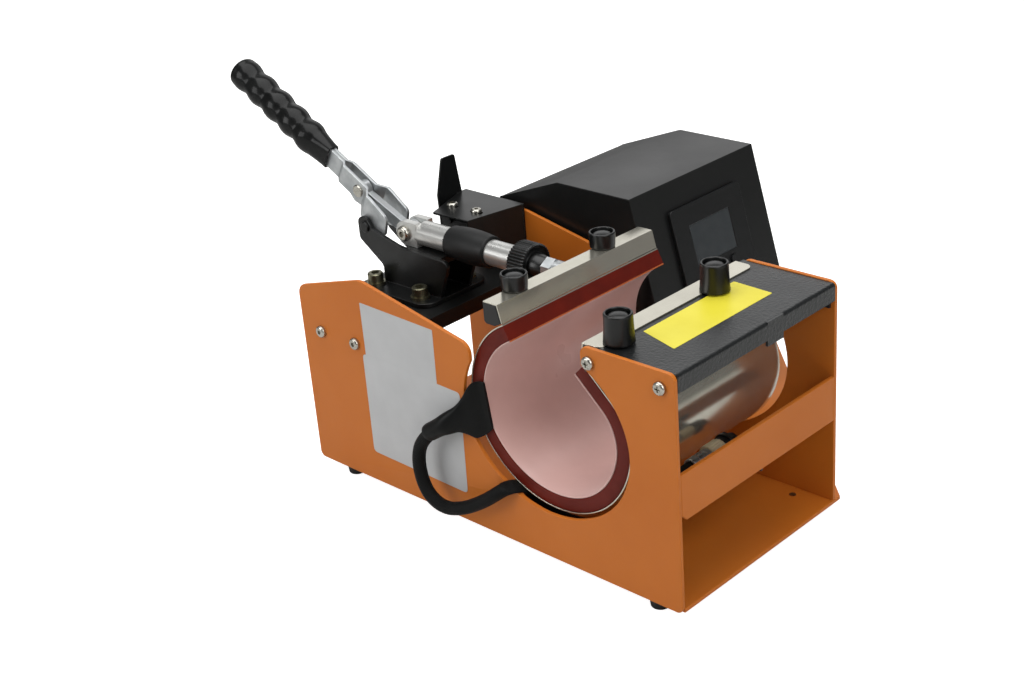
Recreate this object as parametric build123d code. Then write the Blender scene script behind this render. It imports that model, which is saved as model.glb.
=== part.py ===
from build123d import *
import math
import os

# Mug heat press: a folded sheet frame with a round cut-out in each side wall holds a C-shaped
# silicone heater. A push-pull toggle clamp drives the bar that carries the heater's free end.
#
# Model frame while building: X runs from the open handle end to the cover end, Y from the outer
# face of the near wall to the control box, Z up from the underside of the base plate. write()
# moves every piece so that the origin is under the middle of the whole press, on the ground.

# ---------------------------------------------------------------- driving dimensions, mm
# folded frame
LENGTH = 300.0
WIDTH = 146.0                       # over the outer faces of the two side walls
SHEET = 2.5
OPEN_END_HEIGHT = 121.5
SHOULDER_X, SHOULDER_HEIGHT = 60.0, 138.5
EAR_X, EAR_HEIGHT = 151.0, 120.0    # the wall's ear, left of the cut-out
POST_X, POST_HEIGHT = 236.5, 143.3  # the part of the wall that carries the cover
CUTOUT_X, CUTOUT_Z = 205.5, 84.0
CUTOUT_HALF_WIDTH, CUTOUT_HALF_HEIGHT = 62.0, 54.5
STRIP_LOW, STRIP_HIGH = 56.4, 84.6  # the cross strip at the cover end
BASE_DEPTH = WIDTH + 160.0          # the base plate reaches under the control box
BASE_STEP = 5.0                     # how far it passes the far wall at the cover end
BASE_CORNER_X = LENGTH - (BASE_DEPTH - WIDTH - BASE_STEP)    # its corner is cut off at 45 degrees
BASE_TAIL_X = 22.0

# rubber feet
FOOT_HEIGHT, FOOT_TOP_R, FOOT_REST_R = 8.5, 6.5, 5.2
FOOT_INSET, FOOT_EDGE, FOOT_REAR = 23.5, 10.0, 17.0
FOOT_SPOTS = ((FOOT_INSET, FOOT_EDGE), (LENGTH - FOOT_INSET, FOOT_EDGE),
              (LENGTH - FOOT_INSET, WIDTH - FOOT_EDGE), (BASE_TAIL_X + FOOT_INSET, BASE_DEPTH - FOOT_REAR),
              (BASE_CORNER_X - FOOT_EDGE, BASE_DEPTH - FOOT_REAR))

# fasteners: shank radius, head radius, head height
M4 = (2.0, 3.9, 2.6)
M6 = (3.0, 5.0, 6.0)
HOLE_CLEARANCE = 0.2                # radial, screws through sheet metal
FACE_GAP = 0.3                      # between faces that slide or swing past each other
PIN_CLEARANCE = 0.05                # radial, pivots and shafts in their bores

# black plate that carries the toggle clamp
CARRIER_X0, CARRIER_X1 = 6.0, 78.5
CARRIER_TOP = 104.0
CARRIER_LIP = 10.0
CARRIER_EAR_DEPTH = 18.0
CARRIER_SCREW_X, CARRIER_SCREW_Z = (18.5, 50.1), 94.4

# toggle clamp
MID_Y = WIDTH / 2
PLUNGER_Z = 141.0
BASE_PIVOT_X = 0.5                  # the handle turns about this pin
CRANK = 23.5                        # base pin to the handle's link pin
LINK = 48.0                         # link pin to plunger pin
PLUNGER_PIN_X = 31.0                # at rest, clamp open
HANDLE_ANGLE = 151.2                # direction of the lever at rest, degrees above +X
LEVER_REACH = 132.0                 # link pin to the end of the grip
LEVER_SHEET = 2.2
LEVER_HEIGHT = 14.0
FORK_INNER = 8.2                    # half the gap between the fork cheeks
NECK_INNER, NECK_START = 2.9, 21.5  # half the gap at the link pin; where the plates part
CLAMP_FLANGE = 3.0
CLAMP_BOLT_X, CLAMP_BOLT_SPAN = (13.0, 54.5), 41.0
CLAMP_FLANGE_X0, CLAMP_FLANGE_X1, CLAMP_FLANGE_WIDTH = 3.0, 68.0, 58.0
WEB_INNER, WEB_SHEET, WEB_TOP = 10.8, 3.0, 132.5
WEB_NECK, WEB_CHIN_Z, WEB_FILLET = (14.0, 117.5), 132.0, 4.0
WEB_BROW, WEB_SLOPE = 6.0, ((14.5, 138.0), (34.0, 133.0))    # over the pin, then down to the guide
GUIDE_X0, WEB_X1 = 34.0, 76.0
PIVOT_R, LINK_PIN_R, PLUNGER_PIN_R = 3.0, 3.0, 3.0
LINK_SHEET = 5.0
ROD_R = 8.0
CLEVIS_HALF, CLEVIS_SLOT_END = 7.5, 42.0
SLEEVE_X0, SLEEVE_X1, SLEEVE_R, SLEEVE_END_R = 67.0, 101.5, 11.2, 9.6
TUBE_X1 = 124.0
SPINDLE_R, SPINDLE_X0 = 5.0, 104.0
KNOB_X0, KNOB_THICKNESS, KNOB_R, KNOB_RIDGES = 125.0, 13.0, 13.0, 40
KNOB_HUB_X1, KNOB_HUB_R0, KNOB_HUB_R1 = 147.0, 8.0, 6.3
SPINDLE_NUT, SPINDLE_NUT_FLATS = 7.0, 13.0
GRIP_START, GRIP_R, GRIP_NECK_R, GRIP_FINGERS, GRIP_PITCH = 34.0, 10.8, 9.2, 5, 17.0
COLLAR_END = 47.5

# moving bar
BAR_X0, BAR_TOP_X1, BAR_LEAN = 160.5, 170.4, 3.0
BAR_TOP, BAR_BOTTOM = 147.2, 134.6
BAR_Y0, BAR_Y1 = 5.0, WIDTH - 5.0
STRAP = 0.8                         # polished steel sheet
BAR_KNOB_Y = (28.0, 104.0)

# heater: inner face as a chain of left-turning arcs (radius, degrees) and a straight end
HEATER_Y0, HEATER_Y1 = 5.0, WIDTH - 5.2
HEATER_START = (179.6, 127.6)
HEATER_HEADING = 207.0
HEATER_ARCS = ((43.5, 98.0), (53.0, 63.0), (46.0, 69.0), (29.0, 60.0))
HEATER_TAIL = 24.0
LINER, PAD = 0.8, 9.0
BAND_EDGE = 0.5                     # how far the band stands out in front of the pad

# cover
COVER_X0, COVER_TOP, COVER_SHEET, COVER_FOLD = 237.0, 142.6, 1.5, 2.0
COVER_EAR_DEPTH, COVER_LEFT_LIP, COVER_RIGHT_LIP = 15.5, 11.0, 10.6
COVER_TAB_Y0, COVER_TAB_Y1, COVER_TAB_DROP = 79.5, 94.0, 3.6
COVER_SCREWS = ((242.4, 134.6), (290.7, 133.9))
COVER_STRAP_X0, COVER_STRAP_X1, COVER_STRAP_LEAN = 235.6, 248.5, 1.4
COVER_STRAP_Y0, COVER_STRAP_Y1, COVER_STRAP_ROUND = 3.0, WIDTH - 8.0, 5.0
COVER_KNOB_X, COVER_KNOB_Y = 251.5, (15.0, 97.5)

# hand knobs: cups with a screw head inside
KNOB_TOP_R, KNOB_SKIRT_R, KNOB_CUP_R, KNOB_FLOOR = 8.0, 8.8, 6.7, 5.0
BAR_KNOB_R, BAR_KNOB_HEIGHT, COVER_KNOB_HEIGHT = 7.6, 9.6, 16.8
STUD_R = 2.5

# control box
BOX_GAP = M4[2] + 0.4               # clears the screw heads on the far wall
BOX_DEPTH = 127.0
BOX_Y0, BOX_Y1 = WIDTH + BOX_GAP, WIDTH + BOX_GAP + BOX_DEPTH
BOX_BACK_X, BOX_BACK_HEIGHT = 34.0, 140.4
BOX_TOP_X0, BOX_TOP_X1, BOX_TOP = 87.0, 147.0, 160.0
BOX_CHIN_X, BOX_CHIN_Z = 177.0, 48.0    # the sloped front's lower edge
BOX_FOOT_X, BOX_FLOOR_EDGE = 111.0, 6.0
BOX_SHEET = 1.5
PANEL_Y = BOX_Y0 + 0.52 * BOX_DEPTH
PANEL_WIDTH, PANEL_HEIGHT, PANEL_THICKNESS, PANEL_DROP = 72.0, 54.0, 2.5, 18.0
SCREEN_WIDTH, SCREEN_HEIGHT, SCREEN_DROP, SCREEN_THICKNESS = 41.0, 27.0, 13.5, 3.0
KEY_R, KEY_PITCH, KEY_DROP, KEY_TRAVEL, KEY_PROUD = 3.0, 14.0, 47.0, 0.8, 1.2
BOARD_WIDTH, BOARD_HEIGHT, BOARD_THICKNESS, BOARD_DEPTH = 64.0, 70.0, 1.6, 12.0
INLET_Y, FUSE_Y, ROCKER_Y = BOX_Y0 + 23.0, BOX_Y0 + 51.0, BOX_Y1 - 40.0
SOCKETS_Z = 46.0
SUPPLY_SIZE, RELAY_SIZE = (40.0, 46.0, 34.0), (40.0, 30.0, 24.0)
SUPPLY_CORNER, RELAY_CORNER = (62.0, BOX_Y0 + 19.0), (62.0, BOX_Y1 - 44.0)
ROCKER_WIDTH, ROCKER_HEIGHT, ROCKER_TILT = 13.0, 19.0, 8.0

# limit switch on its bracket at the far wall
BRACKET_TOP, BRACKET_SHEET = 142.6, 1.5
BRACKET_NEAR_Y, BRACKET_X0, BRACKET_X1, BRACKET_DROP = 99.0, 22.0, 53.0, 32.0
SWITCH_LENGTH, SWITCH_WIDTH, SWITCH_THICKNESS, SWITCH_PITCH = 27.8, 15.9, 10.3, 22.2
SWITCH_X, SWITCH_Y = 35.2, 115.0
BUTTON_TRAVEL = 1.2

# heater lead and its connector
LEAD_R, LEAD_GAP = 4.1, 0.4
LEAD_POINTS = ((131.0, -8.4, 66.2), (116.2, -11.3, 55.6), (110.4, -12.2, 38.0), (115.6, -12.6, 18.6),
               (130.0, -12.6, 12.0), (146.0, -11.0, 16.5), (162.0, -7.4, 25.0), (179.0, -1.8, 37.8),
               (184.6, 6.8, 23.6), (201.0, 13.5, 17.5), (222.0, 19.0, 17.0), (246.0, 20.0, 20.0),
               (266.0, 15.0, 31.0), (276.0, 17.0, 47.0), (272.5, 29.0, 60.5), (272.5, 45.0, 60.5))
SHEATH_BORE = 9.0                   # how far the lead reaches into its sheath
SHEATH_MOUTH_R, SHEATH_FLAP, SHEATH_EDGE = 5.5, 34.0, 4.2
SHEATH_THROAT_X, SHEATH_THROAT_Z, SHEATH_THROAT = 143.5, 74.0, 19.0
SHEATH_FLAP_X, SHEATH_FLAP_Z = 157.5, 82.5
PLUG_R, RING_R, PLUG_LENGTH, RING_LENGTH, SOCKET_LENGTH = 5.4, 6.8, 15.5, 11.0, 12.0
BRACE_SHEET, BRACE_R, BRACE_FOOT = 2.0, 7.6, 14.0

# ---------------------------------------------------------------- worked-out values
LEVER_DIR = (math.cos(math.radians(HANDLE_ANGLE)), math.sin(math.radians(HANDLE_ANGLE)))
LEVER_UP = (LEVER_DIR[1], -LEVER_DIR[0])
REST_SPAN = PLUNGER_PIN_X - BASE_PIVOT_X
REST_COS = (CRANK ** 2 + REST_SPAN ** 2 - LINK ** 2) / (2 * CRANK * REST_SPAN)
OPEN_ANGLE = math.degrees(math.acos(REST_COS))
LINK_ANGLE = math.degrees(math.asin(CRANK * math.sin(math.radians(OPEN_ANGLE)) / LINK))
LINK_PIN = (BASE_PIVOT_X + CRANK * math.cos(math.radians(OPEN_ANGLE)),
            PLUNGER_Z + CRANK * math.sin(math.radians(OPEN_ANGLE)))
STROKE = CRANK + LINK - REST_SPAN
GRIP_TIP_X = LINK_PIN[0] + LEVER_REACH * LEVER_DIR[0]
ORIGIN = ((GRIP_TIP_X + LENGTH) / 2, (BASE_DEPTH - M4[2]) / 2, -FOOT_HEIGHT)
FAR_INNER = WIDTH - SHEET


# ---------------------------------------------------------------- helpers
def write(name, *solids):
    """Move the node's solids into the part frame and export them under its name."""
    move = Location((-ORIGIN[0], -ORIGIN[1], -ORIGIN[2]))
    found = [s for shape in solids for s in shape.solids()]
    moved = [move * s for s in found]
    shape = moved[0] if len(moved) == 1 else Compound(children=moved)
    shape.label = name
    export_step(shape, f"parts/{name}.step")


def outline(*corners):
    """A closed face from (a, b, radius) corners."""
    path = FilletPolyline([(a, b) for a, b, _ in corners], radius=[r for _, _, r in corners], close=True)
    return make_face(path)


def across(face, y0, y1):
    """Extrude a face drawn as (X, Z) from Y = y0 to y1."""
    return extrude(Plane(origin=(0, y1, 0), x_dir=(1, 0, 0), z_dir=(0, -1, 0)) * face, amount=y1 - y0)


def along(face, x0, x1):
    """Extrude a face drawn as (Y, Z) from X = x0 to x1."""
    return extrude(Plane.YZ.offset(x0) * face, amount=x1 - x0)


def block(x0, x1, y0, y1, z0, z1):
    """A plain box between its corners."""
    size = (x1 - x0, y1 - y0, z1 - z0)
    return Pos(x0, y0, z0) * Box(*size, align=(Align.MIN, Align.MIN, Align.MIN))


def rod_x(radius, x0, x1, y, z):
    """A cylinder along X."""
    return Pos(x0, y, z) * Rot(0, 90, 0) * Cylinder(radius, x1 - x0, align=(Align.CENTER, Align.CENTER, Align.MIN))


def rod_y(radius, x, z, y0, y1):
    """A cylinder along Y."""
    return Pos(x, y0, z) * Rot(-90, 0, 0) * Cylinder(radius, y1 - y0, align=(Align.CENTER, Align.CENTER, Align.MIN))


def rod_z(radius, x, y, z0, z1):
    """A cylinder along Z."""
    return Pos(x, y, z0) * Cylinder(radius, z1 - z0, align=(Align.CENTER, Align.CENTER, Align.MIN))


def polar(point, angle, distance):
    """The point at a distance and an angle in degrees from another."""
    a = math.radians(angle)
    return point[0] + distance * math.cos(a), point[1] + distance * math.sin(a)


def side_screw(x, z, face_y, outward, length, cross):
    """A pan head screw through a side wall; outward is -1 on the near wall and 1 on the far wall."""
    shank, head, height = M4
    body = rod_z(shank, 0, 0, -length, 0.1) + dome(head, height)
    drive = RegularPolygon(1.5, 6)
    if cross:
        drive = Rectangle(3.6, 0.9) + Rectangle(0.9, 3.6)
    body -= extrude(Pos(0, 0, height - 1.3) * drive, amount=2)
    return Pos(x, face_y, z) * Rot(90 if outward < 0 else -90, 0, 0) * body


def dome(radius, height):
    """A pan head: a short drum with a rounded top edge."""
    drum = Cylinder(radius, height, align=(Align.CENTER, Align.CENTER, Align.MIN))
    return fillet(drum.edges().group_by(Axis.Z)[-1], height * 0.6)


def hex_nut(radius, flats, height):
    """A hexagon nut standing on the XY plane."""
    body = extrude(RegularPolygon(flats / math.sqrt(3), 6), amount=height)
    return body - Cylinder(radius, 3 * height)


# ---------------------------------------------------------------- frame
def wall_outline():
    """Side wall seen from the side, with the round cut-out open at its top."""
    face = outline((0, 0, 4), (LENGTH, 0, 4), (LENGTH, POST_HEIGHT, 4.5), (POST_X, POST_HEIGHT, 5),
                   (POST_X, CUTOUT_Z, 0), (EAR_X, CUTOUT_Z, 0), (EAR_X, EAR_HEIGHT, 8),
                   (SHOULDER_X, SHOULDER_HEIGHT, 15), (0, OPEN_END_HEIGHT, 8))
    cut = Pos(CUTOUT_X, CUTOUT_Z) * Ellipse(CUTOUT_HALF_WIDTH, CUTOUT_HALF_HEIGHT)
    return face - cut


def wall_holes():
    """Screw holes shared by both walls, as (x, z)."""
    return [(x, CARRIER_SCREW_Z) for x in CARRIER_SCREW_X] + list(COVER_SCREWS)


def make_frame():
    """Base plate, two side walls and the cross strip."""
    base = make_face(Polyline((0, SHEET), (LENGTH, SHEET), (LENGTH, WIDTH + BASE_STEP),
                              (BASE_CORNER_X, BASE_DEPTH), (BASE_TAIL_X, BASE_DEPTH),
                              (BASE_TAIL_X, WIDTH), (0, WIDTH), close=True))
    plate = extrude(base, amount=SHEET)
    for x, y in FOOT_SPOTS:
        plate -= Pos(x, y, 0) * Cylinder(M4[0], 4 * SHEET)
    write("base_plate", plate)
    for name, y0, z0 in (("near_wall", 0, 0), ("far_wall", FAR_INNER, SHEET)):
        wall = across(wall_outline(), y0, y0 + SHEET) - block(-1, LENGTH + 1, y0 - 1, y0 + SHEET + 1, -1, z0)
        for x, z in wall_holes():
            wall -= rod_y(M4[0] + HOLE_CLEARANCE, x, z, y0 - 1, y0 + SHEET + 1)
        if name == "near_wall":
            wall -= lead_tube(LEAD_R + LEAD_GAP)
        write(name, wall)
    strip = outline((SHEET, STRIP_LOW + 4, 0), (SHEET + 4, STRIP_LOW, 0), (FAR_INNER, STRIP_LOW, 0),
                    (FAR_INNER, STRIP_HIGH, 0), (SHEET, STRIP_HIGH, 0))
    write("cross_strip", along(strip, LENGTH - SHEET, LENGTH))


def make_feet():
    """Tapered rubber bumpers, each held by a screw from below, threaded into the base plate."""
    feet, screws = [], []
    recess = FOOT_HEIGHT - 4.0
    shank, head, height = M4
    for x, y in FOOT_SPOTS:
        foot = Pos(x, y, -FOOT_HEIGHT) * Cone(FOOT_REST_R, FOOT_TOP_R, FOOT_HEIGHT,
                                              align=(Align.CENTER, Align.CENTER, Align.MIN))
        foot -= rod_z(head, x, y, -FOOT_HEIGHT - 1, -FOOT_HEIGHT + recess)
        foot -= rod_z(shank, x, y, -FOOT_HEIGHT, 1)
        feet.append(foot)
        screw = rod_z(head - 0.2, x, y, -FOOT_HEIGHT + recess - height, -FOOT_HEIGHT + recess)
        screws.append(screw + rod_z(shank, x, y, -FOOT_HEIGHT + recess - 1, SHEET))
    write("rubber_feet", *feet)
    write("foot_screws", *screws)


# ---------------------------------------------------------------- toggle clamp, fixed parts
def clamp_bolt_spots():
    """Centres of the four clamp bolts, as (x, y)."""
    return [(x, MID_Y + side * CLAMP_BOLT_SPAN / 2) for x in CLAMP_BOLT_X for side in (-1, 1)]


def make_carrier():
    """Black folded plate between the walls, with a lip in front and an ear at each wall."""
    y0, y1 = SHEET, FAR_INNER
    plate = block(CARRIER_X0, CARRIER_X1, y0, y1, CARRIER_TOP - SHEET, CARRIER_TOP)
    plate += block(CARRIER_X1 - SHEET, CARRIER_X1, y0, y1, CARRIER_TOP - CARRIER_LIP, CARRIER_TOP)
    for ear_y in (y0, y1 - SHEET):
        plate += block(CARRIER_X0, CARRIER_X1 - 3 * SHEET, ear_y, ear_y + SHEET,
                       CARRIER_TOP - CARRIER_EAR_DEPTH, CARRIER_TOP)
        for x in CARRIER_SCREW_X:
            plate -= rod_y(M4[0], x, CARRIER_SCREW_Z, ear_y - 1, ear_y + SHEET + 1)
    for x, y in clamp_bolt_spots():
        plate -= Pos(x, y, CARRIER_TOP) * Cylinder(M6[0] + HOLE_CLEARANCE, 6 * SHEET)
    write("clamp_carrier", plate)
    screws = [side_screw(x, CARRIER_SCREW_Z, y, out, 2 * SHEET + 2, False)
              for x in CARRIER_SCREW_X for y, out in ((0, -1), (WIDTH, 1))]
    write("carrier_screws", *screws)


def make_clamp_base():
    """Toggle clamp base: flange, two webs with pin ears, and the guide floor under the plunger."""
    top = CARRIER_TOP + CLAMP_FLANGE
    half = CLAMP_FLANGE_WIDTH / 2
    flange = extrude(Pos(0, 0, CARRIER_TOP) * outline(
        (CLAMP_FLANGE_X0, MID_Y - half, 6), (CLAMP_FLANGE_X1, MID_Y - half, 10),
        (CLAMP_FLANGE_X1, MID_Y + half, 10), (CLAMP_FLANGE_X0, MID_Y + half, 6)), amount=CLAMP_FLANGE)
    for x, y in clamp_bolt_spots():
        flange -= Pos(x, y, top) * Cylinder(M6[0] + HOLE_CLEARANCE, 4 * CLAMP_FLANGE)
    left, brow = BASE_PIVOT_X - WEB_BROW - 1.0, PLUNGER_Z + WEB_BROW
    web = outline((WEB_NECK[0], top, 0), (*WEB_NECK, WEB_FILLET), (left, WEB_CHIN_Z, WEB_FILLET),
                  (left, brow, WEB_FILLET), (BASE_PIVOT_X + 1.5, brow, WEB_FILLET / 2),
                  (BASE_PIVOT_X + WEB_BROW, PLUNGER_Z - 0.5, WEB_FILLET / 2), (*WEB_SLOPE[0], WEB_FILLET),
                  (*WEB_SLOPE[1], WEB_FILLET), (WEB_X1, WEB_TOP, WEB_FILLET), (WEB_X1 - 10, top, 0))
    body = flange
    for y in (MID_Y - WEB_INNER - WEB_SHEET, MID_Y + WEB_INNER):
        body += across(web, y, y + WEB_SHEET)
    floor_z = PLUNGER_Z - ROD_R - PIN_CLEARANCE
    body += block(GUIDE_X0, SLEEVE_X0 - FACE_GAP, MID_Y - WEB_INNER, MID_Y + WEB_INNER, floor_z - 5, floor_z)
    body -= rod_y(PIVOT_R, BASE_PIVOT_X, PLUNGER_Z, MID_Y - 20, MID_Y + 20)
    write("clamp_base", body)


def make_clamp_fasteners():
    """Cap screws, washers and nuts of the clamp base, and the two shoulder pins of the handle."""
    shank, head, height = M6
    seat = CARRIER_TOP + CLAMP_FLANGE
    washer = 1.6
    bolts, washers = [], []
    for x, y in clamp_bolt_spots():
        cap = rod_z(head, x, y, seat + washer, seat + washer + height)
        cap = chamfer(cap.edges().group_by(Axis.Z)[-1], 0.6)
        cap -= extrude(Pos(x, y, seat + washer + height - 3) * RegularPolygon(2.9, 6), amount=4)
        cap += rod_z(shank, x, y, CARRIER_TOP - SHEET - 7, seat + washer)
        bolts.append(cap + Pos(x, y, CARRIER_TOP - SHEET - 5) * hex_nut(shank, 10, 5))
        washers.append(rod_z(6.2, x, y, seat, seat + washer) - rod_z(shank, x, y, seat - 1, seat + 3))
    write("clamp_bolts", *bolts, *washers)
    pins = []
    outer = WEB_INNER + WEB_SHEET
    for side in (-1, 1):
        pin = Rot(-90 * side, 0, 0) * (rod_z(PIVOT_R, 0, 0, FORK_INNER - 0.4, outer + 0.1)
                                       + Pos(0, 0, outer) * dome(PIVOT_R + 0.6, 1.4))
        pins.append(Pos(BASE_PIVOT_X, MID_Y, PLUNGER_Z) * pin)
    write("handle_pins", *pins)


# ---------------------------------------------------------------- toggle clamp, moving parts
def lever_point(u, v):
    """The (X, Z) place of a point u along the lever and v above it, from the link pin."""
    return (LINK_PIN[0] + u * LEVER_DIR[0] + v * LEVER_UP[0],
            LINK_PIN[1] + u * LEVER_DIR[1] + v * LEVER_UP[1])


def make_handle():
    """Two stamped lever plates: pressed together in the grip, spread at the neck and wide at the fork."""
    half = LEVER_HEIGHT / 2
    end = LEVER_REACH - 12
    eye = PIVOT_R + 4.2
    px, pz = BASE_PIVOT_X, PLUNGER_Z
    side = outline((*lever_point(end, -half), 3), (*lever_point(6, -half), 4), (*lever_point(1, -half - 2.2), 6),
                   (*lever_point(-6, -half - 1), 4), (px - eye, pz + 8, 6), (px - eye, pz - eye, eye - 0.4),
                   (px + 14, pz - eye + 2.5, 3), (px + 17.5, pz + 7.5, 4), (px + 2.5, pz + 18.4, 3),
                   (*lever_point(-6, half), 5), (*lever_point(end, half), 3))
    reach = 60
    spread = ((end + 1, 0.2), (NECK_START, 0.2), (NECK_START - 3.5, NECK_INNER), (-5.5, NECK_INNER),
              (-11.5, FORK_INNER), (-40, FORK_INNER))
    plates = []
    for hand in (-1, 1):
        inner = [(u, hand * y) for u, y in spread]
        outer = [(u, hand * (y + LEVER_SHEET)) for u, y in reversed(spread)]
        path = make_face(Polyline(*inner, *outer, close=True))
        place = Plane(origin=(LINK_PIN[0], MID_Y, LINK_PIN[1]), x_dir=(LEVER_DIR[0], 0, LEVER_DIR[1]),
                      z_dir=(LEVER_UP[0], 0, LEVER_UP[1]))
        # the plane's own y axis points to -Y or +Y; both plates come from the mirrored pair
        sheet = extrude(place * path, amount=reach, both=True)
        plate = sheet & across(side, MID_Y - 20, MID_Y + 20)
        plate -= rod_y(PIVOT_R + PIN_CLEARANCE, px, pz, MID_Y - 20, MID_Y + 20)
        plates.append(plate - rod_y(LINK_PIN_R, LINK_PIN[0], LINK_PIN[1], MID_Y - 20, MID_Y + 20))
    plates.sort(key=lambda plate: plate.center().Y)
    write("lever_plate_near", plates[0])
    write("lever_plate_far", plates[1])
    rivets = []
    for hand in (-1, 1):
        rivet = rod_z(LINK_PIN_R, 0, 0, NECK_INNER, NECK_INNER + LEVER_SHEET)
        rivet += Pos(0, 0, NECK_INNER + LEVER_SHEET) * dome(LINK_PIN_R + 1.2, 1.4)
        rivets.append(Pos(LINK_PIN[0], MID_Y, LINK_PIN[1]) * Rot(-90 * hand, 0, 0) * rivet)
    write("lever_rivets", *rivets)


def grip_profile():
    """Half section of the grip: a straight collar, finger rings and a round end."""
    start, stop = GRIP_START, LEVER_REACH
    first = COLLAR_END + GRIP_PITCH / 2
    points = [(start, 0), (start, GRIP_NECK_R - 0.7), (COLLAR_END, GRIP_NECK_R)]
    for i in range(GRIP_FINGERS):
        middle = first + i * GRIP_PITCH
        points += [(middle, GRIP_R), (middle + GRIP_PITCH / 2, GRIP_NECK_R)]
    points[-1] = (stop - 3.0, GRIP_NECK_R - 2.0)
    curve = Polyline(*points[:3]) + Spline(*points[2:]) + Line(points[-1], (stop, 0)) + Line((stop, 0), (start, 0))
    return make_face(curve)


def make_grip():
    """Dipped vinyl grip with finger rings, slotted for the two lever plates."""
    solid = revolve(grip_profile(), Axis.X)
    slot = 0.2 + LEVER_SHEET
    cut = Pos(GRIP_START - 1, 0, 0) * Box(LEVER_REACH - 12 - GRIP_START + 1, LEVER_HEIGHT, 2 * slot,
                                          align=(Align.MIN, Align.CENTER, Align.CENTER))
    place = Plane(origin=(LINK_PIN[0], MID_Y, LINK_PIN[1]), x_dir=(LEVER_DIR[0], 0, LEVER_DIR[1]),
                  z_dir=(0, -1, 0))
    write("handle_grip", place.location * (solid - cut))


def make_link():
    """Flat link from the handle to the plunger, cranked downwards so that it clears the lever."""
    tip = (PLUNGER_PIN_X, PLUNGER_Z)
    angle = 180 - LINK_ANGLE
    down = angle + 90
    top, low = -1.5, 7.0
    a0, a1 = polar(tip, angle, 4), polar(tip, angle, LINK - 4)
    bar = make_face(Polyline(polar(a0, down, top), polar(a1, down, top), polar(a1, down, low - 2.5),
                             polar(polar(tip, angle, LINK - 12), down, low), polar(a0, down, low), close=True))
    body = across(bar, MID_Y - LINK_SHEET / 2, MID_Y + LINK_SHEET / 2)
    for point, radius in ((tip, 6.6), (LINK_PIN, 6.0)):
        body += rod_y(radius, *point, MID_Y - LINK_SHEET / 2, MID_Y + LINK_SHEET / 2)
    body -= rod_y(PLUNGER_PIN_R + PIN_CLEARANCE, *tip, MID_Y - 9, MID_Y + 9)
    body -= rod_y(LINK_PIN_R, *LINK_PIN, MID_Y - 9, MID_Y + 9)
    reach = NECK_INNER - FACE_GAP / 2
    write("toggle_link", body, rod_y(LINK_PIN_R, *LINK_PIN, MID_Y - reach, MID_Y + reach))


def make_plunger():
    """Plunger with its slotted rear end, its cross bolt, the rubber sleeve and the spindle."""
    rod = rod_x(ROD_R, CLEVIS_SLOT_END - 2, TUBE_X1, MID_Y, PLUNGER_Z)
    clevis = Plane.YZ.offset(PLUNGER_PIN_X) * (Pos(MID_Y, PLUNGER_Z) * Rectangle(2 * CLEVIS_HALF, 2 * ROD_R))
    rod += extrude(clevis, amount=CLEVIS_SLOT_END - PLUNGER_PIN_X)
    rod += rod_y(ROD_R, PLUNGER_PIN_X, PLUNGER_Z, MID_Y - CLEVIS_HALF, MID_Y + CLEVIS_HALF)
    slot = LINK_SHEET / 2 + FACE_GAP
    rod -= block(PLUNGER_PIN_X - ROD_R - 1, CLEVIS_SLOT_END, MID_Y - slot, MID_Y + slot,
                 PLUNGER_Z - ROD_R - 1, PLUNGER_Z + ROD_R + 1)
    rod -= rod_y(PLUNGER_PIN_R, PLUNGER_PIN_X, PLUNGER_Z, MID_Y - 12, MID_Y + 12)
    rod -= rod_x(SPINDLE_R, SPINDLE_X0, TUBE_X1 + 1, MID_Y, PLUNGER_Z)
    write("plunger_rod", rod)
    bolt = rod_z(PLUNGER_PIN_R, 0, 0, -CLEVIS_HALF, CLEVIS_HALF) + Pos(0, 0, CLEVIS_HALF) * dome(5.0, 3.0)
    bolt -= extrude(Pos(0, 0, CLEVIS_HALF + 1.2) * RegularPolygon(2.3, 6), amount=3)
    bolt += Rot(180, 0, 0) * Pos(0, 0, CLEVIS_HALF) * dome(5.0, 3.0)
    write("plunger_bolt", Pos(PLUNGER_PIN_X, MID_Y, PLUNGER_Z) * Rot(90, 0, 0) * bolt)
    mid = (SLEEVE_X0 + SLEEVE_X1) / 2
    arc = ThreePointArc((SLEEVE_X0, SLEEVE_END_R), (mid, SLEEVE_R), (SLEEVE_X1, SLEEVE_END_R))
    path = arc + Polyline((SLEEVE_X1, SLEEVE_END_R), (SLEEVE_X1, ROD_R), (SLEEVE_X0, ROD_R),
                          (SLEEVE_X0, SLEEVE_END_R))
    write("rubber_sleeve", Pos(0, MID_Y, PLUNGER_Z) * revolve(make_face(path), Axis.X))
    write("spindle", rod_x(SPINDLE_R, SPINDLE_X0, BAR_X0 + 4, MID_Y, PLUNGER_Z))
    nut_x = KNOB_HUB_X1 + FACE_GAP
    nut = Pos(nut_x, MID_Y, PLUNGER_Z) * Rot(0, 90, 0) * hex_nut(SPINDLE_R, SPINDLE_NUT_FLATS, SPINDLE_NUT)
    nut += (rod_x(SPINDLE_NUT_FLATS / 2, nut_x + SPINDLE_NUT, BAR_X0, MID_Y, PLUNGER_Z)
            - rod_x(SPINDLE_R, nut_x, BAR_X0 + 1, MID_Y, PLUNGER_Z))
    write("spindle_nut", nut)


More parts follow.
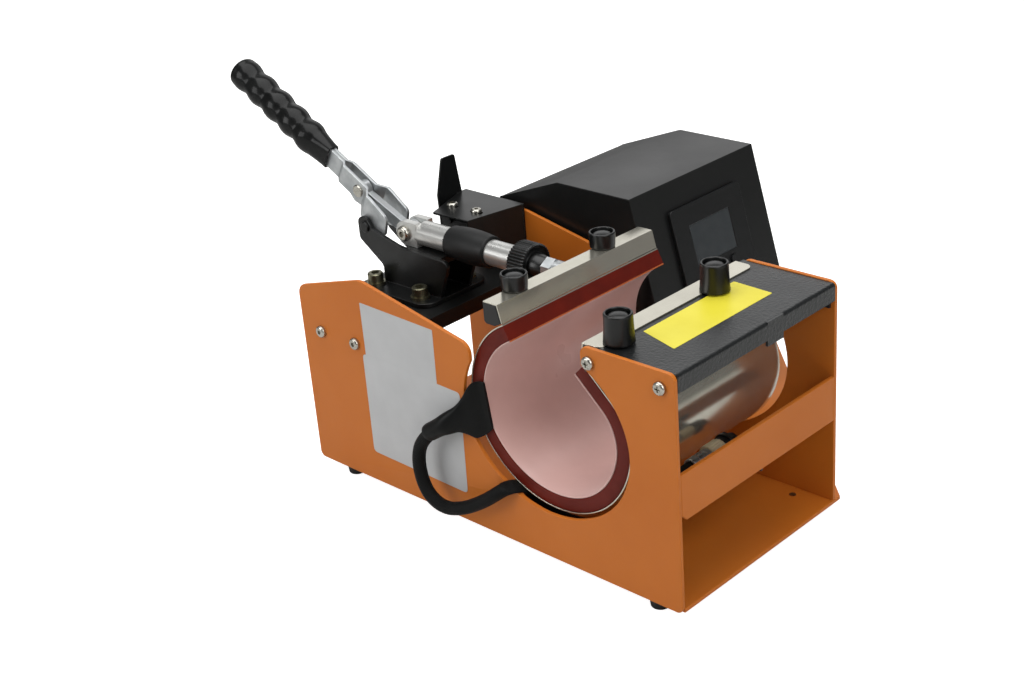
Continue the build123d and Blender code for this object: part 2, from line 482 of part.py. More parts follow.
def make_pressure_knob():
    """Ridged adjusting knob with a conical hub, free to turn on the spindle."""
    ridge = 0.7
    disc = Circle(KNOB_R - ridge)
    for i in range(KNOB_RIDGES):
        disc += Rot(0, 0, i * 360 / KNOB_RIDGES) * Pos(KNOB_R - ridge, 0) * Rectangle(2 * ridge, 0.9)
    body = extrude(disc, amount=KNOB_THICKNESS)
    body += Pos(0, 0, KNOB_THICKNESS) * Cone(KNOB_HUB_R0, KNOB_HUB_R1, KNOB_HUB_X1 - KNOB_X0 - KNOB_THICKNESS,
                                             align=(Align.CENTER, Align.CENTER, Align.MIN))
    body -= Cylinder(SPINDLE_R + PIN_CLEARANCE, 100)
    write("pressure_knob", Pos(KNOB_X0, MID_Y, PLUNGER_Z) * Rot(0, 90, 0) * body)


# ---------------------------------------------------------------- moving bar and heater
def heater_edge(x):
    """Height of the heater's upper end above x, with the clearance that the bar keeps from it."""
    corner = polar(HEATER_START, HEATER_HEADING - 90, LINER + PAD + STRAP)
    lean = math.radians(HEATER_HEADING - 180)
    return corner[1] + (x - corner[0]) * math.tan(lean) + FACE_GAP / math.cos(lean)


def bar_knob_x():
    """The bar's knobs stand flush with its steel front."""
    return BAR_TOP_X1 + STRAP - BAR_KNOB_R


def make_bar():
    """Black bar on the end of the spindle, with the steel sheet folded over its top and front."""
    foot_x = BAR_TOP_X1 + BAR_LEAN
    foot_z = heater_edge(foot_x + STRAP)
    turn_x = foot_x - (foot_z - BAR_BOTTOM) / math.tan(math.radians(HEATER_HEADING - 180))
    section = make_face(Polyline((BAR_X0, BAR_BOTTOM + 1.6), (BAR_X0 + 1.6, BAR_BOTTOM), (turn_x, BAR_BOTTOM),
                                 (foot_x, foot_z), (BAR_TOP_X1, BAR_TOP), (BAR_X0, BAR_TOP), close=True))
    bar = across(section, BAR_Y0, BAR_Y1)
    bar -= rod_x(SPINDLE_R, BAR_X0 - 1, BAR_X0 + 4, MID_Y, PLUNGER_Z)
    widen = STRAP / math.cos(math.atan2(BAR_LEAN, BAR_TOP - foot_z))
    sheet = make_face(Polyline((BAR_X0, BAR_TOP), (BAR_TOP_X1, BAR_TOP), (foot_x, foot_z),
                               (foot_x + widen, foot_z), (BAR_TOP_X1 + widen, BAR_TOP + STRAP),
                               (BAR_X0, BAR_TOP + STRAP), close=True))
    strap = across(sheet, BAR_Y0 + BAND_EDGE, BAR_Y1)
    studs = []
    for y in BAR_KNOB_Y:
        bar -= rod_z(STUD_R, bar_knob_x(), y, BAR_BOTTOM + 2, BAR_TOP + 1)
        strap -= rod_z(STUD_R, bar_knob_x(), y, BAR_TOP - 1, BAR_TOP + 3)
        studs.append(knob_stud(bar_knob_x(), y, BAR_BOTTOM + 2, BAR_TOP + STRAP))
    write("moving_bar", bar)
    write("bar_strap", strap)
    write("bar_studs", *studs)


def heater_chain(offset):
    """The heater's section line, moved outwards by an offset: edges, first point and last point."""
    heading = HEATER_HEADING
    x, z = polar(HEATER_START, heading - 90, offset)
    first, edges = (x, z), []
    for radius, sweep in HEATER_ARCS:
        r = radius + offset
        centre = polar((x, z), heading + 90, r)
        middle = polar(centre, heading - 90 + sweep / 2, r)
        end = polar(centre, heading - 90 + sweep, r)
        edges.append(ThreePointArc((x, z), middle, end))
        x, z = end
        heading += sweep
    end = polar((x, z), heading, HEATER_TAIL)
    edges.append(Line((x, z), end))
    return edges, first, end


def heater_layer(inner, outer):
    """A band of the heater's section between two offsets, as a face in (X, Z)."""
    edges_in, in0, in1 = heater_chain(inner)
    edges_out, out0, out1 = heater_chain(outer)
    return make_face(Curve() + edges_in + edges_out + [Line(in0, out0), Line(in1, out1)])


def make_heater():
    """C-shaped heater: smooth inner skin, silicone pad and polished outer band."""
    write("heater_liner", across(heater_layer(0, LINER), HEATER_Y0, HEATER_Y1))
    write("heater_pad", across(heater_layer(LINER, LINER + PAD), HEATER_Y0, HEATER_Y1))
    write("heater_band", across(heater_layer(LINER + PAD, LINER + PAD + STRAP), HEATER_Y0 - BAND_EDGE, HEATER_Y1))


def lead_path():
    """Centre line of the heater lead: straight runs with arcs as wide as the runs allow."""
    corners = [Vector(p) for p in LEAD_POINTS]
    radii = []
    for before, at, after in zip(corners, corners[1:], corners[2:]):
        run = min((at - before).length, (after - at).length)
        turn = math.radians((at - before).get_angle(after - at))
        radii.append(0.45 * run / math.tan(turn / 2))
    return FilletPolyline(corners, radius=radii), radii


def lead_tube(radius):
    """A round tube along the lead's centre line."""
    path, _ = lead_path()
    return sweep(Plane(origin=path @ 0, z_dir=path % 0) * Circle(radius), path=path)


def make_lead():
    """Heater lead: out of its sheath, round in front of the wall, over its edge and on to the plug."""
    path, radii = lead_path()
    lead = lead_tube(LEAD_R)
    print("lead radii", [round(r, 1) for r in radii])
    print("lead length", round(path.length, 1), "volume over section times length",
          round(lead.volume / (math.pi * LEAD_R ** 2 * path.length), 4))
    write("heater_lead", lead)


def make_sheath():
    """Black sheath that gathers the pad's wires into the lead; its wide end sits on the pad's edge."""
    start, towards = Vector(LEAD_POINTS[0]), Vector(LEAD_POINTS[1])
    out = (towards - start).normalized()
    mouth = Plane(origin=start + out * SHEATH_BORE, x_dir=(0, 1, 0), z_dir=out * -1)
    neck = Plane(origin=start - out * 2, x_dir=(0, 1, 0), z_dir=out * -1)
    throat = Plane(origin=(SHEATH_THROAT_X, -SHEATH_EDGE - 1.6, SHEATH_THROAT_Z), x_dir=(0, 1, 0),
                   z_dir=(0.92, 0.0, 0.39))
    flap = Plane(origin=(SHEATH_FLAP_X, HEATER_Y0 - SHEATH_EDGE / 2, SHEATH_FLAP_Z), x_dir=(0, 1, 0),
                 z_dir=(0.97, 0.0, 0.24))
    waist = throat * RectangleRounded(1.6 * SHEATH_EDGE, SHEATH_THROAT, 3)
    body = loft([mouth * Circle(SHEATH_MOUTH_R), neck * Circle(SHEATH_MOUTH_R + 0.6)])
    body += loft([neck * Circle(SHEATH_MOUTH_R + 0.6), waist])
    body += loft([waist, flap * RectangleRounded(SHEATH_EDGE, SHEATH_FLAP, 1.5)])
    body -= extrude(mouth * Circle(LEAD_R), amount=SHEATH_BORE)
    write("heater_sheath", body)


def make_connector():
    """Round plug on the lead's end, its panel socket and the brace that holds it on the cross strip."""
    x, y, z = LEAD_POINTS[-1]
    plug = rod_y(PLUG_R, x, z, y, y + PLUG_LENGTH)
    ring = rod_y(RING_R, x, z, y + PLUG_LENGTH, y + PLUG_LENGTH + RING_LENGTH)
    write("lead_plug", plug + chamfer(ring.edges().filter_by(GeomType.CIRCLE), 0.8))
    face = y + PLUG_LENGTH + RING_LENGTH
    socket = rod_y(RING_R - 0.5, x, z, face, face + 4) + rod_y(PLUG_R, x, z, face, face + SOCKET_LENGTH)
    for dx in (-3, 3):
        socket += rod_y(1, x + dx, z, face + SOCKET_LENGTH, face + SOCKET_LENGTH + 5)
    nut = Pos(x, face + 4 + BRACE_SHEET, z) * Rot(-90, 0, 0) * hex_nut(PLUG_R, 13, 2.5)
    write("lead_socket", socket + nut)
    x1, low, high = LENGTH - SHEET, z - BRACE_R, z + BRACE_R / 2
    arm = Polyline((x, low), (x1, low), (x1, high + BRACE_R), (x1 - BRACE_SHEET, high + BRACE_R), (x + BRACE_R, high),
                   (x, high), close=True)
    brace = across(make_face(arm) + Pos(x, z) * Circle(BRACE_R), face + 4, face + 4 + BRACE_SHEET)
    brace -= rod_y(PLUG_R, x, z, face, face + 20)
    brace += block(x1 - BRACE_SHEET, x1, face + 4, face + 4 + BRACE_FOOT, max(low, STRIP_LOW), high + BRACE_R)
    write("socket_brace", brace)


# ---------------------------------------------------------------- cover and hand knobs
def knob_stud(x, y, low, seat):
    """A stud with the round screw head that sits in the knob's cup."""
    head_z = seat + FACE_GAP + KNOB_FLOOR + FACE_GAP
    stud = rod_z(STUD_R, x, y, low, head_z + 0.1) + Pos(x, y, head_z) * dome(4.6, 2.6)
    return stud - extrude(Pos(x, y, head_z + 1.3) * (Rectangle(4.4, 0.9) + Rectangle(0.9, 4.4)), amount=3)


def hand_knob(x, y, seat, height, skirt):
    """Cup knob that turns on its stud, standing just clear of what it clamps."""
    z = seat + FACE_GAP
    body = Pos(x, y, z) * Cone(skirt, KNOB_TOP_R, height,
                               align=(Align.CENTER, Align.CENTER, Align.MIN))
    body -= rod_z(KNOB_CUP_R, x, y, z + KNOB_FLOOR, z + height + 1)
    return body - rod_z(STUD_R + PIN_CLEARANCE, x, y, z - 1, z + height)


def make_cover():
    """Black folded cover on the posts, its screws and the steel strap on its left edge."""
    y0, y1 = SHEET, FAR_INNER
    x1 = LENGTH - SHEET - FACE_GAP
    low = COVER_TOP - COVER_SHEET
    cover = block(COVER_X0, LENGTH, y0, y1, low, COVER_TOP)
    cover += block(LENGTH - COVER_SHEET, LENGTH, y0, y1, COVER_TOP - COVER_RIGHT_LIP, COVER_TOP)
    fold = cover.edges().filter_by(Axis.Y).group_by(Axis.Z)[-1].sort_by(Axis.X)[-1]
    cover = fillet(fold, COVER_FOLD)
    cover += block(LENGTH - COVER_SHEET, LENGTH, COVER_TAB_Y0, COVER_TAB_Y1,
                   COVER_TOP - COVER_RIGHT_LIP - COVER_TAB_DROP, COVER_TOP)
    cover += block(COVER_X0, COVER_X0 + COVER_SHEET, y0, y1, COVER_TOP - COVER_LEFT_LIP, COVER_TOP)
    for ear_y in (y0, y1 - COVER_SHEET):
        cover += block(COVER_X0, x1, ear_y, ear_y + COVER_SHEET, COVER_TOP - COVER_EAR_DEPTH, COVER_TOP)
        for x, z in COVER_SCREWS:
            cover -= rod_y(M4[0], x, z, ear_y - 1, ear_y + COVER_SHEET + 1)
    strap_top = COVER_TOP + STRAP
    studs = []
    for y in COVER_KNOB_Y:
        cover -= rod_z(STUD_R, COVER_KNOB_X, y, low - 1, COVER_TOP + 1)
        studs.append(knob_stud(COVER_KNOB_X, y, low - 4, strap_top))
    write("cover_plate", cover)
    screws = [side_screw(x, z, y, out, SHEET + COVER_SHEET + 2, True)
              for x, z in COVER_SCREWS for y, out in ((0, -1), (WIDTH, 1))]
    write("cover_screws", *screws)
    leg_x, leg_z = COVER_STRAP_X0 - COVER_STRAP_LEAN, heater_tail()[1] + FACE_GAP
    sheet = make_face(Polyline((COVER_STRAP_X1, COVER_TOP), (COVER_STRAP_X1, strap_top),
                               (COVER_STRAP_X0, strap_top), (leg_x, leg_z), (leg_x + STRAP, leg_z),
                               (COVER_STRAP_X0 + STRAP, COVER_TOP), close=True))
    strap = across(sheet, COVER_STRAP_Y0, COVER_STRAP_Y1)
    corners = strap.edges().filter_by(Axis.Z).group_by(Axis.X)[-1]
    strap = fillet(corners, COVER_STRAP_ROUND)
    for y in COVER_KNOB_Y:
        strap -= rod_z(STUD_R, COVER_KNOB_X, y, low, strap_top + 1)
    write("cover_strap", strap)
    write("cover_studs", *studs)


def heater_tail():
    """Outer corner of the heater's fixed end."""
    return heater_chain(LINER + PAD + STRAP)[2]


def make_knobs():
    """Two knobs on the moving bar and two on the cover strap."""
    for place, y in zip(("near", "far"), BAR_KNOB_Y):
        write(f"bar_knob_{place}", hand_knob(bar_knob_x(), y, BAR_TOP + STRAP, BAR_KNOB_HEIGHT, BAR_KNOB_R))
    for place, y in zip(("near", "far"), COVER_KNOB_Y):
        write(f"cover_knob_{place}", hand_knob(COVER_KNOB_X, y, COVER_TOP + STRAP, COVER_KNOB_HEIGHT,
                                               KNOB_SKIRT_R))


# ---------------------------------------------------------------- limit switch
def make_switch():
    """Folded bracket on the far wall with its upright tab, the switch under it and the switch's button."""
    low = BRACKET_TOP - BRACKET_SHEET
    y1 = FAR_INNER
    top = make_face(Polyline((BRACKET_X0, BRACKET_NEAR_Y), (BRACKET_X1, BRACKET_NEAR_Y + 1),
                             (BRACKET_X1 + 9, y1), (BRACKET_X0 - 14, y1), (BRACKET_X0 - 14, y1 - 6), close=True))
    bracket = extrude(Pos(0, 0, low) * top, amount=BRACKET_SHEET)
    bracket += block(BRACKET_X0 - 8, BRACKET_X1 + 9, y1 - BRACKET_SHEET, y1, BRACKET_TOP - BRACKET_DROP, BRACKET_TOP)
    side = extrude(Pos(0, 0, BRACKET_TOP - BRACKET_DROP) * make_face(Polyline(
        (BRACKET_X1, BRACKET_NEAR_Y + 1), (BRACKET_X1 + 9, y1), (BRACKET_X1 + 9 - BRACKET_SHEET, y1),
        (BRACKET_X1 - BRACKET_SHEET, BRACKET_NEAR_Y + 1), close=True)), amount=BRACKET_DROP)
    tab = outline((y1 - 26, 120, 2), (y1 - 5, 120, 2), (y1 - 5, BRACKET_TOP, 0), (y1 - 9, 170, 2),
                  (y1 - 21, 170, 2), (y1 - 27, 146, 2))
    bracket += side + along(tab, BRACKET_X0 - 14, BRACKET_X0 - 14 + BRACKET_SHEET)
    case = block(SWITCH_X - SWITCH_LENGTH / 2, SWITCH_X + SWITCH_LENGTH / 2, SWITCH_Y - SWITCH_WIDTH / 2,
                 SWITCH_Y + SWITCH_WIDTH / 2, low - SWITCH_THICKNESS, low)
    screws = []
    for dx in (-SWITCH_PITCH / 2, SWITCH_PITCH / 2):
        spot = (SWITCH_X + dx, SWITCH_Y)
        slot = Pos(*spot, low) * SlotOverall(10, 3.4)
        bracket -= extrude(slot, amount=BRACKET_SHEET)
        case -= rod_z(1.5, *spot, low - SWITCH_THICKNESS - 1, low + 1)
        screws.append(rod_z(1.5, *spot, low - SWITCH_THICKNESS - 1.5, BRACKET_TOP + 0.1)
                      + Pos(*spot, BRACKET_TOP) * (dome(3.6, 2.4)
                                                   - extrude(Pos(0, 0, 1) * RegularPolygon(1.5, 6), amount=3)))
    button_y = SWITCH_Y - SWITCH_WIDTH / 2
    button_z = low - SWITCH_THICKNESS / 2
    case -= rod_y(2.0 + PIN_CLEARANCE, SWITCH_X - 6, button_z, button_y - 1, button_y + 5)
    write("switch_bracket", bracket)
    write("limit_switch", case)
    write("switch_screws", *screws)
    write("limit_switch_button", rod_y(2.0, SWITCH_X - 6, button_z, button_y - BUTTON_TRAVEL - 0.4,
                                       button_y + 5 - BUTTON_TRAVEL - FACE_GAP))


# ---------------------------------------------------------------- control box
def box_outline():
    """The control box seen from the side: a sloped front over an underside that runs back to the base."""
    return make_face(Polyline((BOX_BACK_X, SHEET), (BOX_FOOT_X, SHEET), (BOX_CHIN_X, BOX_CHIN_Z),
                              (BOX_TOP_X1, BOX_TOP), (BOX_TOP_X0, BOX_TOP), (BOX_BACK_X, BOX_BACK_HEIGHT),
                              close=True))


def face_plane(drop, out):
    """Plane on the sloped front, a distance down from its upper edge and outwards from its skin."""
    down = Vector(BOX_CHIN_X - BOX_TOP_X1, 0, BOX_CHIN_Z - BOX_TOP).normalized()
    normal = Vector(-down.Z, 0, down.X)
    origin = Vector(BOX_TOP_X1, PANEL_Y, BOX_TOP) + down * drop + normal * out
    return Plane(origin=origin, x_dir=(0, 1, 0), z_dir=normal)


def key_spots():
    """Sideways places of the three keys from the middle of the panel."""
    return [i * KEY_PITCH for i in (-1, 0, 1)]


def make_box():
    """Folded control box shell, its rear panel, the display panel with screen and keys."""
    y0, y1 = BOX_Y0 + BOX_SHEET, BOX_Y1 - BOX_SHEET
    shell = across(box_outline(), BOX_Y0, BOX_Y1)
    shell -= across(offset(box_outline(), amount=-BOX_SHEET, kind=Kind.INTERSECTION), y0, y1)
    shell -= block(BOX_BACK_X - 1, BOX_BACK_X + BOX_SHEET, y0, y1, SHEET, BOX_BACK_HEIGHT + BOX_SHEET)
    shell -= block(BOX_BACK_X, BOX_FOOT_X - BOX_FLOOR_EDGE, y0, y1, SHEET, SHEET + BOX_SHEET)
    middle = PANEL_DROP + PANEL_HEIGHT / 2
    screen_middle = PANEL_DROP + SCREEN_DROP + SCREEN_HEIGHT / 2
    window = face_plane(screen_middle, -2 * BOX_SHEET) * Rectangle(SCREEN_WIDTH, SCREEN_HEIGHT)
    shell -= extrude(window, amount=4 * BOX_SHEET)
    panel = extrude(face_plane(middle, 0) * RectangleRounded(PANEL_WIDTH, PANEL_HEIGHT, 3), amount=PANEL_THICKNESS)
    panel -= extrude(window, amount=4 * BOX_SHEET + PANEL_THICKNESS)
    for dy in key_spots():
        hole = Pos(dy, 0) * Circle(KEY_R + FACE_GAP)
        cut = extrude(face_plane(PANEL_DROP + KEY_DROP, -2 * BOX_SHEET) * hole, amount=6 * BOX_SHEET)
        panel -= cut
        shell -= cut
    write("control_box_shell", shell)
    write("display_panel", panel)
    screen = face_plane(screen_middle, PANEL_THICKNESS - 0.6 - SCREEN_THICKNESS)
    write("display_screen", extrude(screen * Rectangle(SCREEN_WIDTH, SCREEN_HEIGHT), amount=SCREEN_THICKNESS))
    for name, dy in zip(("key_down", "key_mode", "key_up"), key_spots()):
        place = face_plane(PANEL_DROP + KEY_DROP, -BOX_SHEET - FACE_GAP)
        key = extrude(place * Pos(dy, 0) * Circle(KEY_R), amount=BOX_SHEET + PANEL_THICKNESS + FACE_GAP + KEY_PROUD)
        key += extrude(place * Pos(dy, 0) * Circle(KEY_R + 1), amount=-1.2)
        write(name, key)
    rear = block(BOX_BACK_X, BOX_BACK_X + BOX_SHEET, y0, y1, SHEET, BOX_BACK_HEIGHT - BOX_SHEET)
    rear += block(BOX_BACK_X, BOX_BACK_X + 9, y0, y1, SHEET, SHEET + BOX_SHEET)
    rear -= block(BOX_BACK_X - 1, BOX_BACK_X + 3, INLET_Y - 13.5, INLET_Y + 13.5, SOCKETS_Z - 10, SOCKETS_Z + 10)
    rear -= rod_x(6, BOX_BACK_X - 1, BOX_BACK_X + 3, FUSE_Y, SOCKETS_Z)
    rear -= block(BOX_BACK_X - 1, BOX_BACK_X + 3, ROCKER_Y - ROCKER_WIDTH / 2 - 1.5,
                  ROCKER_Y + ROCKER_WIDTH / 2 + 1.5, SOCKETS_Z - ROCKER_HEIGHT / 2 - 1.5,
                  SOCKETS_Z + ROCKER_HEIGHT / 2 + 1.5)
    write("rear_panel", rear)


def make_box_contents():
    """Mains inlet, fuse holder, rocker switch, controller board on spacers, relay and its supply."""
    x = BOX_BACK_X
    inlet = block(x - 1.5, x, INLET_Y - 16, INLET_Y + 16, SOCKETS_Z - 12, SOCKETS_Z + 12)
    inlet += block(x, x + 18, INLET_Y - 13.5, INLET_Y + 13.5, SOCKETS_Z - 10, SOCKETS_Z + 10)
    inlet -= block(x - 2, x + 15, INLET_Y - 11.5, INLET_Y + 11.5, SOCKETS_Z - 7.5, SOCKETS_Z + 7.5)
    for dy, dz in ((-7, -1.5), (0, 2.5), (7, -1.5)):
        inlet += block(x + 3, x + 15.1, INLET_Y + dy - 1, INLET_Y + dy + 1, SOCKETS_Z + dz - 2, SOCKETS_Z + dz + 2)
    write("mains_inlet", inlet)
    fuse = rod_x(7.5, x - 2.5, x, FUSE_Y, SOCKETS_Z) + rod_x(6, x, x + 30, FUSE_Y, SOCKETS_Z)
    write("fuse_holder", fuse - block(x - 3, x - 1.5, FUSE_Y - 5, FUSE_Y + 5, SOCKETS_Z - 0.8, SOCKETS_Z + 0.8))
    half_w, half_h = ROCKER_WIDTH / 2 + 1.5, ROCKER_HEIGHT / 2 + 1.5
    frame = block(x - 1.5, x, ROCKER_Y - half_w - 1.5, ROCKER_Y + half_w + 1.5, SOCKETS_Z - half_h - 1.5,
                  SOCKETS_Z + half_h + 1.5)
    frame += block(x, x + 17, ROCKER_Y - half_w, ROCKER_Y + half_w, SOCKETS_Z - half_h, SOCKETS_Z + half_h)
    frame -= block(x - 2, x + 13, ROCKER_Y - ROCKER_WIDTH / 2, ROCKER_Y + ROCKER_WIDTH / 2,
                   SOCKETS_Z - ROCKER_HEIGHT / 2 - 0.6, SOCKETS_Z + ROCKER_HEIGHT / 2 + 0.6)
    pivot_x = x + 4.0
    frame += rod_y(1.2, pivot_x, SOCKETS_Z, ROCKER_Y - ROCKER_WIDTH / 2 - 0.1, ROCKER_Y + ROCKER_WIDTH / 2 + 0.1)
    write("power_switch", frame)
    half = ROCKER_HEIGHT / 2 - 0.4
    shape = make_face(Polyline((pivot_x - 6.4, SOCKETS_Z - half), (pivot_x - 3.2, SOCKETS_Z),
                               (pivot_x - 6.4, SOCKETS_Z + half), (pivot_x + 1, SOCKETS_Z + half),
                               (pivot_x + 3.4, SOCKETS_Z), (pivot_x + 1, SOCKETS_Z - half), close=True))
    rocker = across(shape, ROCKER_Y - ROCKER_WIDTH / 2 + FACE_GAP, ROCKER_Y + ROCKER_WIDTH / 2 - FACE_GAP)
    rocker -= rod_y(1.2 + PIN_CLEARANCE, pivot_x, SOCKETS_Z, ROCKER_Y - 20, ROCKER_Y + 20)
    write("power_rocker", rocker.rotate(Axis((pivot_x, ROCKER_Y, SOCKETS_Z), (0, 1, 0)), -ROCKER_TILT))
    middle = PANEL_DROP + PANEL_HEIGHT / 2
    place = face_plane(middle, -BOX_SHEET - BOARD_DEPTH)
    board = extrude(place * Rectangle(BOARD_WIDTH, BOARD_HEIGHT), amount=-BOARD_THICKNESS)
    spacers = []
    for du in (-1, 1):
        for dv in (-1, 1):
            spot = Pos(du * (BOARD_WIDTH / 2 - 4), dv * (BOARD_HEIGHT / 2 - 4))
            board -= extrude(place * spot * Circle(1.6), amount=-4)
            post = extrude(place * spot * Circle(3), amount=BOARD_DEPTH)
            spacers.append(post + extrude(place * spot * Circle(1.6), amount=-4))
    write("board_spacers", *spacers)
    chip = extrude(place * Pos(0, 22) * Rectangle(30, 10), amount=5)
    relay = extrude(place * Pos(-14, -22) * Rectangle(14, 12), amount=9)
    capacitor = extrude(place * Pos(14, -22) * Circle(5), amount=9)
    write("controller_board", board, chip, relay, capacitor)
    for name, (cx, cy), size in (("power_supply", SUPPLY_CORNER, SUPPLY_SIZE),
                                 ("heater_relay", RELAY_CORNER, RELAY_SIZE)):
        write(name, block(cx, cx + size[0], cy, cy + size[1], SHEET, SHEET + size[2]))


os.makedirs("parts", exist_ok=True)
print("open angle", round(OPEN_ANGLE, 3), "link angle", round(LINK_ANGLE, 3), "stroke", round(STROKE, 3))
print("link pin", LINK_PIN, "origin", ORIGIN)
make_frame()
make_feet()
make_carrier()
make_clamp_base()
make_clamp_fasteners()
make_handle()
make_grip()
make_link()
make_plunger()
make_pressure_knob()
make_bar()
make_heater()
make_sheath()
make_lead()
make_connector()
make_cover()
make_knobs()
make_switch()
make_box()
make_box_contents()
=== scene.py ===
import math

import bmesh
import bpy
import numpy as np
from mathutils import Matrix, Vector


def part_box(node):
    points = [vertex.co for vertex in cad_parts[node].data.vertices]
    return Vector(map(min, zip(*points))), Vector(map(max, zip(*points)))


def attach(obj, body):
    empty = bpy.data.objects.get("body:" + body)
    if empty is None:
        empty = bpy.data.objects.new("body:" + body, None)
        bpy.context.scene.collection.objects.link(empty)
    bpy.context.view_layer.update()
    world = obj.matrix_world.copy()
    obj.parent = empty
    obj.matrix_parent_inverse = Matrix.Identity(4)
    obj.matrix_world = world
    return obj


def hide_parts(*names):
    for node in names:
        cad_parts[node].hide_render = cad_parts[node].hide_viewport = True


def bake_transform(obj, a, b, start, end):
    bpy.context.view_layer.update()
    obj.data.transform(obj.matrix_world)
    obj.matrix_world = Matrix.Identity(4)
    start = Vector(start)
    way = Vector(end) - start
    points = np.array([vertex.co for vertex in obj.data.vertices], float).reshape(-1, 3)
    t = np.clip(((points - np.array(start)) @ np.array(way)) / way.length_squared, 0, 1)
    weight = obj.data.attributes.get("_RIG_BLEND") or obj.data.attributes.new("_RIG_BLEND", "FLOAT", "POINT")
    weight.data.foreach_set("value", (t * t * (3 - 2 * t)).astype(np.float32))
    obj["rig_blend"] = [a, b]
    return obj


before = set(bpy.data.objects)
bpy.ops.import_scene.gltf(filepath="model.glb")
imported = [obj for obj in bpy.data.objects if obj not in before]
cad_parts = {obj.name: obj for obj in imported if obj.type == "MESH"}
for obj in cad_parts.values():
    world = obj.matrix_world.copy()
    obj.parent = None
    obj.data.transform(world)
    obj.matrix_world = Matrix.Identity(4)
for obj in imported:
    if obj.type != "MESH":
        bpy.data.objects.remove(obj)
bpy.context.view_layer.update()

# Every place below is in drawing millimetres: X from the open handle end, Y from the near wall's
# outer face, Z from the underside of the base plate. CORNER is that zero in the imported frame.
MM = 0.001
CORNER = np.array(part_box("near_wall")[0])


def seat(points):
    """Drawing millimetres as metres in the frame: the points scaled and moved to the wall's corner."""
    return np.asarray(points, float) * MM + CORNER


# ---------------------------------------------------------------- camera
CAMERA_SPOT = (762.83, -564.91, 504.76)
CAMERA_TURN = (65.157, 4.225, 43.613)       # degrees about X, Y, Z
CAMERA_LENS = 57.04
camera = bpy.data.objects.new("camera", bpy.data.cameras.new("camera"))
bpy.context.scene.collection.objects.link(camera)
camera.location = seat(CAMERA_SPOT)
camera.rotation_euler = [math.radians(a) for a in CAMERA_TURN]
camera.data.lens = CAMERA_LENS
camera.data.sensor_width = 36.0
camera.data.clip_start = 0.05
bpy.context.scene.camera = camera


# ---------------------------------------------------------------- node and mesh helpers
def tone(code):
    """An sRGB hex colour as linear red, green, blue and full alpha."""
    parts = [int(code[i:i + 2], 16) / 255 for i in (0, 2, 4)]
    return [c / 12.92 if c <= 0.04045 else ((c + 0.055) / 1.055) ** 2.4 for c in parts] + [1.0]


def add(tree, kind, inputs=None, **settings):
    """A shader node with its settings, and its inputs given as values or as sockets to join."""
    node = tree.nodes.new("ShaderNode" + kind)
    for key, value in settings.items():
        setattr(node, key, value)
    for key, value in (inputs or {}).items():
        if isinstance(value, bpy.types.NodeSocket):
            tree.links.new(value, node.inputs[key])
        else:
            node.inputs[key].default_value = value
    return node


def start_material(name, **sockets):
    """An empty material with one principled shader, whose uniform values are set on its own sockets."""
    material = bpy.data.materials.new(name)
    material.use_nodes = True
    tree = material.node_tree
    tree.nodes.clear()
    shader = add(tree, "BsdfPrincipled", {key.replace("_", " "): value for key, value in sockets.items()})
    add(tree, "OutputMaterial", {"Surface": shader.outputs[0]})
    return material, tree, shader


def coat(name, light, dark, rough, patch, grain, depth, stretch=(1, 1, 1), spread=0.05, fine=None,
         **sockets):
    """A finish whose tone and gloss drift in patches (patch, mm) under a raised grain (grain and depth,
    mm). stretch draws the grain out along an axis, and fine adds a second grain (size, depth)."""
    material, tree, shader = start_material(name, **sockets)
    where = add(tree, "TexCoord").outputs["Object"]
    drift = add(tree, "TexNoise", {"Vector": where, "Scale": 1000 / patch, "Detail": 4.0, "Roughness": 0.55})
    blend = add(tree, "MapRange", {0: drift.outputs[0], 1: 0.3, 2: 0.7})
    mix = add(tree, "Mix", {0: blend.outputs[0], 6: tone(dark), 7: tone(light)}, data_type="RGBA")
    tree.links.new(mix.outputs[2], shader.inputs["Base Color"])
    gloss = add(tree, "MapRange", {0: drift.outputs[0], 1: 0.3, 2: 0.7, 3: rough + spread, 4: rough - spread})
    tree.links.new(gloss.outputs[0], shader.inputs["Roughness"])
    drawn = add(tree, "Mapping", {"Vector": where, "Scale": stretch})
    raised = add(tree, "TexNoise", {"Vector": drawn.outputs[0], "Scale": 1000 / grain, "Detail": 3.0})
    bump = add(tree, "Bump", {"Height": raised.outputs[0], "Distance": depth * MM})
    if fine:
        second = add(tree, "TexNoise", {"Vector": where, "Scale": 1000 / fine[0], "Detail": 2.0})
        bump = add(tree, "Bump", {"Height": second.outputs[0], "Distance": fine[1] * MM,
                                  "Normal": bump.outputs[0]})
    tree.links.new(bump.outputs[0], shader.inputs["Normal"])
    return material


def put(obj, body, finish, replaces=()):
    """Give a piece its finish and its body, and hide the CAD nodes that it stands for."""
    obj.data.materials.clear()
    obj.data.materials.append(finish)
    if replaces:
        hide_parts(*replaces)
    if body:
        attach(obj, body)
    return obj


def make_object(name, points, faces, smooth_angle=40):
    """A mesh object from arrays of points (metres) and faces; doubles merged, normals outwards, and
    edges sharper than the angle kept crisp."""
    mesh = bpy.data.meshes.new(name)
    mesh.from_pydata(np.asarray(points).tolist(), [], [list(f) for f in faces])
    sound = bmesh.new()
    sound.from_mesh(mesh)
    bmesh.ops.remove_doubles(sound, verts=sound.verts, dist=1e-6)
    bmesh.ops.recalc_face_normals(sound, faces=sound.faces)
    sound.to_mesh(mesh)
    sound.free()
    mesh.shade_smooth()
    mesh.set_sharp_from_angle(angle=math.radians(smooth_angle))
    obj = bpy.data.objects.new(name, mesh)
    bpy.context.scene.collection.objects.link(obj)
    return obj


